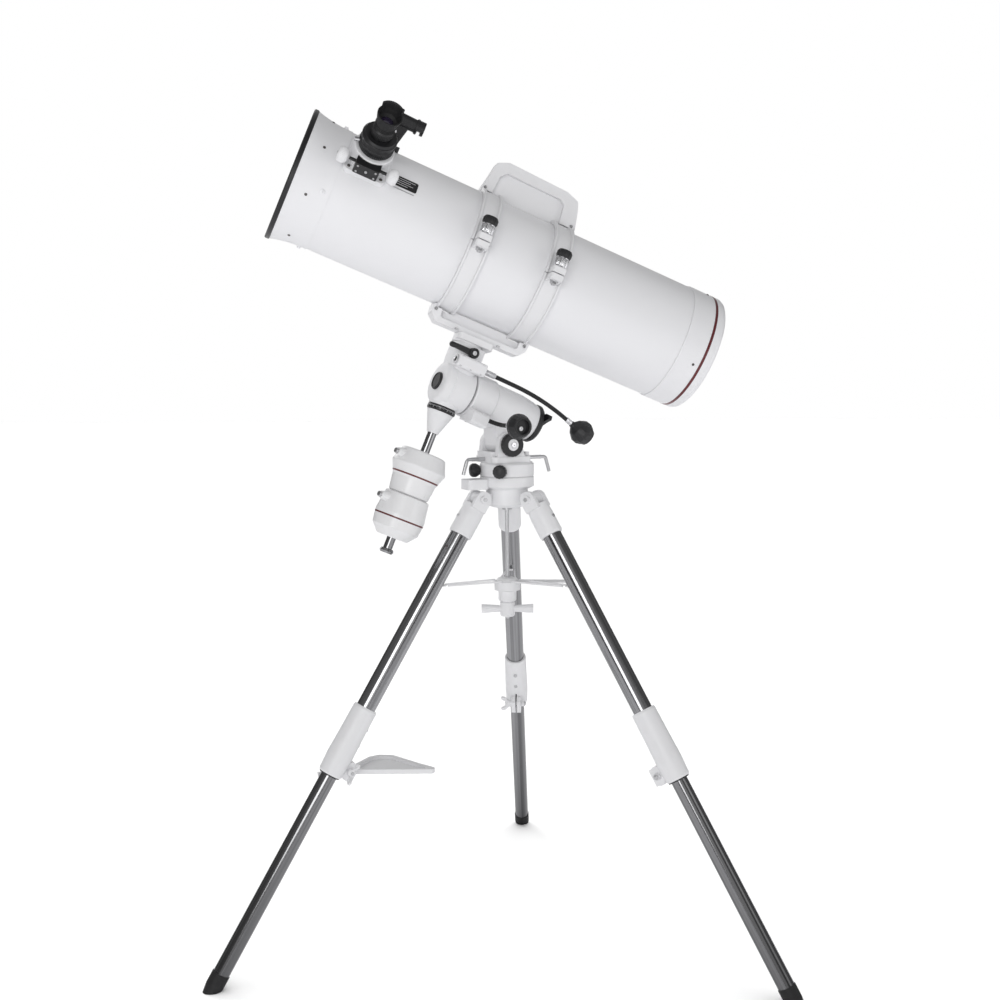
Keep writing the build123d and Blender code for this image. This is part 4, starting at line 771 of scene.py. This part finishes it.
# ---- counterweights: stripes
for nm, top, (rb, zb), (rm, zm), (rt, zt) in (("upper", -139.0, (45.76, -51.6), (46.44, -49.9), (47.12, -48.2)),
                                               ("lower", -227.4, (49.05, -49.3), (49.28, -47.6), (49.5, -45.9))):
    P = Piece(f"weight_stripe_{nm}", f"weight_{nm}", "weight_paint", M_RED)
    P.lathe(DEC, [(rb - 1.2, top + zb), (rb + 0.2, top + zb + 0.15), (rm + 0.3, top + zm), (rt + 0.2, top + zt - 0.15), (rt - 1.2, top + zt)], 144, closed=True).done()

# ---- legs
for f, n in zip(LEGS, LEG_NAMES):
    P = Piece(f"collar_screws_{n}", f"leg_{n}", "steel", M_STEEL)
    for z in (500, 534):
        P.socket(sub(f, (0, -24.4, z), zd=(0, -1, 0), xd=(1, 0, 0)), 4.0, 2.0)
    P.socket(sub(f, (0, 23.2, 50), zd=(0, 1, 0), xd=(1, 0, 0)), 3.6, 2.0)
    P.done()
    P = Piece(f"tube_bush_{n}", f"leg_{n}", "black_plastic", M_PLASTIC)
    P.lathe(f, [(16.35, 603.4), (21.0, 603.4), (21.0, 605.4), (20.2, 606.4), (16.35, 606.4)], 64, closed=True).done()
    P = Piece(f"wing_screw_{n}", f"wing_bolt_{n}", "steel", M_STEEL)
    e = sub(f, (0, -31, 583), zd=(1, 0, 0), xd=(0, 0, 1))
    P.hexhead(sub(e, (0, 0, -18), zd=(0, 0, -1)), 5.6, 2.6)
    P.lathe(sub(e, (0, 0, 24)), [(0, -0.5), (3.4, -0.5), (3.4, 1.2), (2.8, 1.8), (0, 1.8)], 28)
    P.done()
P = Piece("pivot_washers", "tripod_head", "steel", M_STEEL)
for f in LEGS:
    for s in (1, -1):
        e = sub(f, (0, 0, 0), zd=(s, 0, 0), xd=(0, 0, 1))
        P.hexhead(sub(e, (0, 0, 28.4)), 4.6, 1.6, hole=False)
P.done()
P = Piece("spreader_ribs", "spreader", "white_cast", M_CAST)
for a in (206.8, 326.8, 86.8):
    q = F((AX, AY, 721.4), (cos(radians(a)), sin(radians(a)), 0), (0, 0, 1))
    for sy in (-1, 1):
        pts = [(20, sy * 15.0 - 1.3), (134, sy * 8.0 - 1.3), (134, sy * 8.0 + 1.3), (20, sy * 15.0 + 1.3)]
        P.prism(q, pts, 0, 3.4, 0.5)
    P.lathe(sub(q, (139, 0, 0)), [(0, -0.2), (4.2, -0.2), (4.2, 2.2), (3.4, 3.0), (0, 3.0)], 28)
P.lathe(sub(BASE, (0, 0, 721.4)), [(5.0, 0), (22, 0), (22, 2.6), (19, 6), (9, 8), (5.0, 8)], 72, closed=True)
P.done()

# ------------------------------------------------------------------ camera
cam_data = bpy.data.cameras.new("camera")
cam = bpy.data.objects.new("camera", cam_data)
bpy.context.scene.collection.objects.link(cam)
w_, pi_, ro_ = radians(-0.313), radians(5.647), radians(-0.3)
fw = Vector((sin(w_) * cos(pi_), cos(w_) * cos(pi_), -sin(pi_)))
rt = Vector((cos(w_), -sin(w_), 0))
up = rt.cross(fw)
rt2 = rt * cos(ro_) + up * sin(ro_)
up2 = up * cos(ro_) - rt * sin(ro_)
mw = Matrix((rt2, up2, -fw)).transposed().to_4x4()
mw.translation = Vector((0.017, -2.6995, 1.1383))
cam.matrix_world = mw
cam_data.sensor_width = 36.0
cam_data.lens = 46.32
cam_data.clip_end = 60.0
bpy.context.scene.camera = cam

# ------------------------------------------------------------------ stage and light
bpy.ops.mesh.primitive_plane_add(size=56, location=(0, 0, -0.0005))
floor = bpy.context.object
floor.name = "floor"
fm, fnt, fbs = new_mat("floor_pale")
fp = obj_p(fnt)
pale = mixc(fnt, noise(fnt, fp, 1.5, 3, seed=50), (0.905, 0.905, 0.905), (0.925, 0.925, 0.925))
# the floor throws back less light than it shows, so that undersides keep their shading
flp = fnt.nodes.new("ShaderNodeLightPath")
put(fnt, fbs.inputs["Base Color"], mixc(fnt, flp.outputs["Is Camera Ray"], (0.64, 0.64, 0.65), pale))
put(fnt, fbs.inputs["Roughness"], remap(fnt, noise(fnt, fp, 30.0, 3, seed=51), 0.3, 0.7, 0.6, 0.75))
floor.data.materials.append(fm)

world = bpy.data.worlds.new("studio")
bpy.context.scene.world = world
world.use_nodes = True
wn = world.node_tree
wn.nodes.clear()
wo = wn.nodes.new("ShaderNodeOutputWorld")
bg = wn.nodes.new("ShaderNodeBackground")
gen = wn.nodes.new("ShaderNodeTexCoord")
sep = wn.nodes.new("ShaderNodeSeparateXYZ")
wn.links.new(gen.outputs["Generated"], sep.inputs[0])
lp = wn.nodes.new("ShaderNodeLightPath")
# a bright room with dark flags at the left and the right, fainter higher up, that draw the dark lines down polished
# tubes
az = mth(wn, "ABSOLUTE", sep.outputs["X"])
flag = band(wn, az, 0.36, 0.97, 0.05)
low = remap(wn, sep.outputs["Z"], -0.1, 0.85, 1.0, 0.35)
dark = mth(wn, "MULTIPLY", flag, low)
glossy = mth(wn, "MULTIPLY", dark, lp.outputs["Is Glossy Ray"])
# the room is dimmer overhead than at eye level
room = remap(wn, sep.outputs["Z"], 0.15, 0.95, 0.56, 0.34)
level = mixf(wn, glossy, room, 0.012)
level = mixf(wn, lp.outputs["Is Camera Ray"], level, 1.0)
put(wn, bg.inputs["Color"], (1.0, 1.0, 1.0))
put(wn, bg.inputs["Strength"], level)
wn.links.new(bg.outputs[0], wo.inputs[0])


def area(name, loc, target, size, power, color=(1, 1, 1)):
    d = bpy.data.lights.new(name, "AREA")
    d.shape = "RECTANGLE"
    d.size, d.size_y = size
    d.energy = power
    d.color = color
    o = bpy.data.objects.new(name, d)
    bpy.context.scene.collection.objects.link(o)
    o.location = loc
    o.rotation_euler = (Vector(target) - Vector(loc)).to_track_quat("-Z", "Y").to_euler()
    return o


area("key", (-0.7, -3.2, 1.5), (0, 0, 1.15), (1.3, 1.6), 23.5)
area("fill", (2.6, -1.6, 1.1), (0, 0, 0.9), (1.2, 2.0), 6.5)
area("back", (-1.6, 2.2, 2.4), (0, 0, 1.2), (1.5, 1.5), 14)
sun = bpy.data.lights.new("overhead", "SUN")
sun.energy = 2.45
sun.angle = radians(75)
so = bpy.data.objects.new("overhead", sun)
bpy.context.scene.collection.objects.link(so)
so.location = (0, 0, 6)
so.rotation_euler = (radians(-8), 0, 0)
# this light falls on the floor only, so that the floor reads as white without bleaching the telescope
lit = bpy.data.collections.new("floor_only")
lit.objects.link(floor)
so.light_linking.receiver_collection = lit
bpy.context.scene.view_settings.view_transform = "Standard"
bpy.context.scene.view_settings.look = "None"
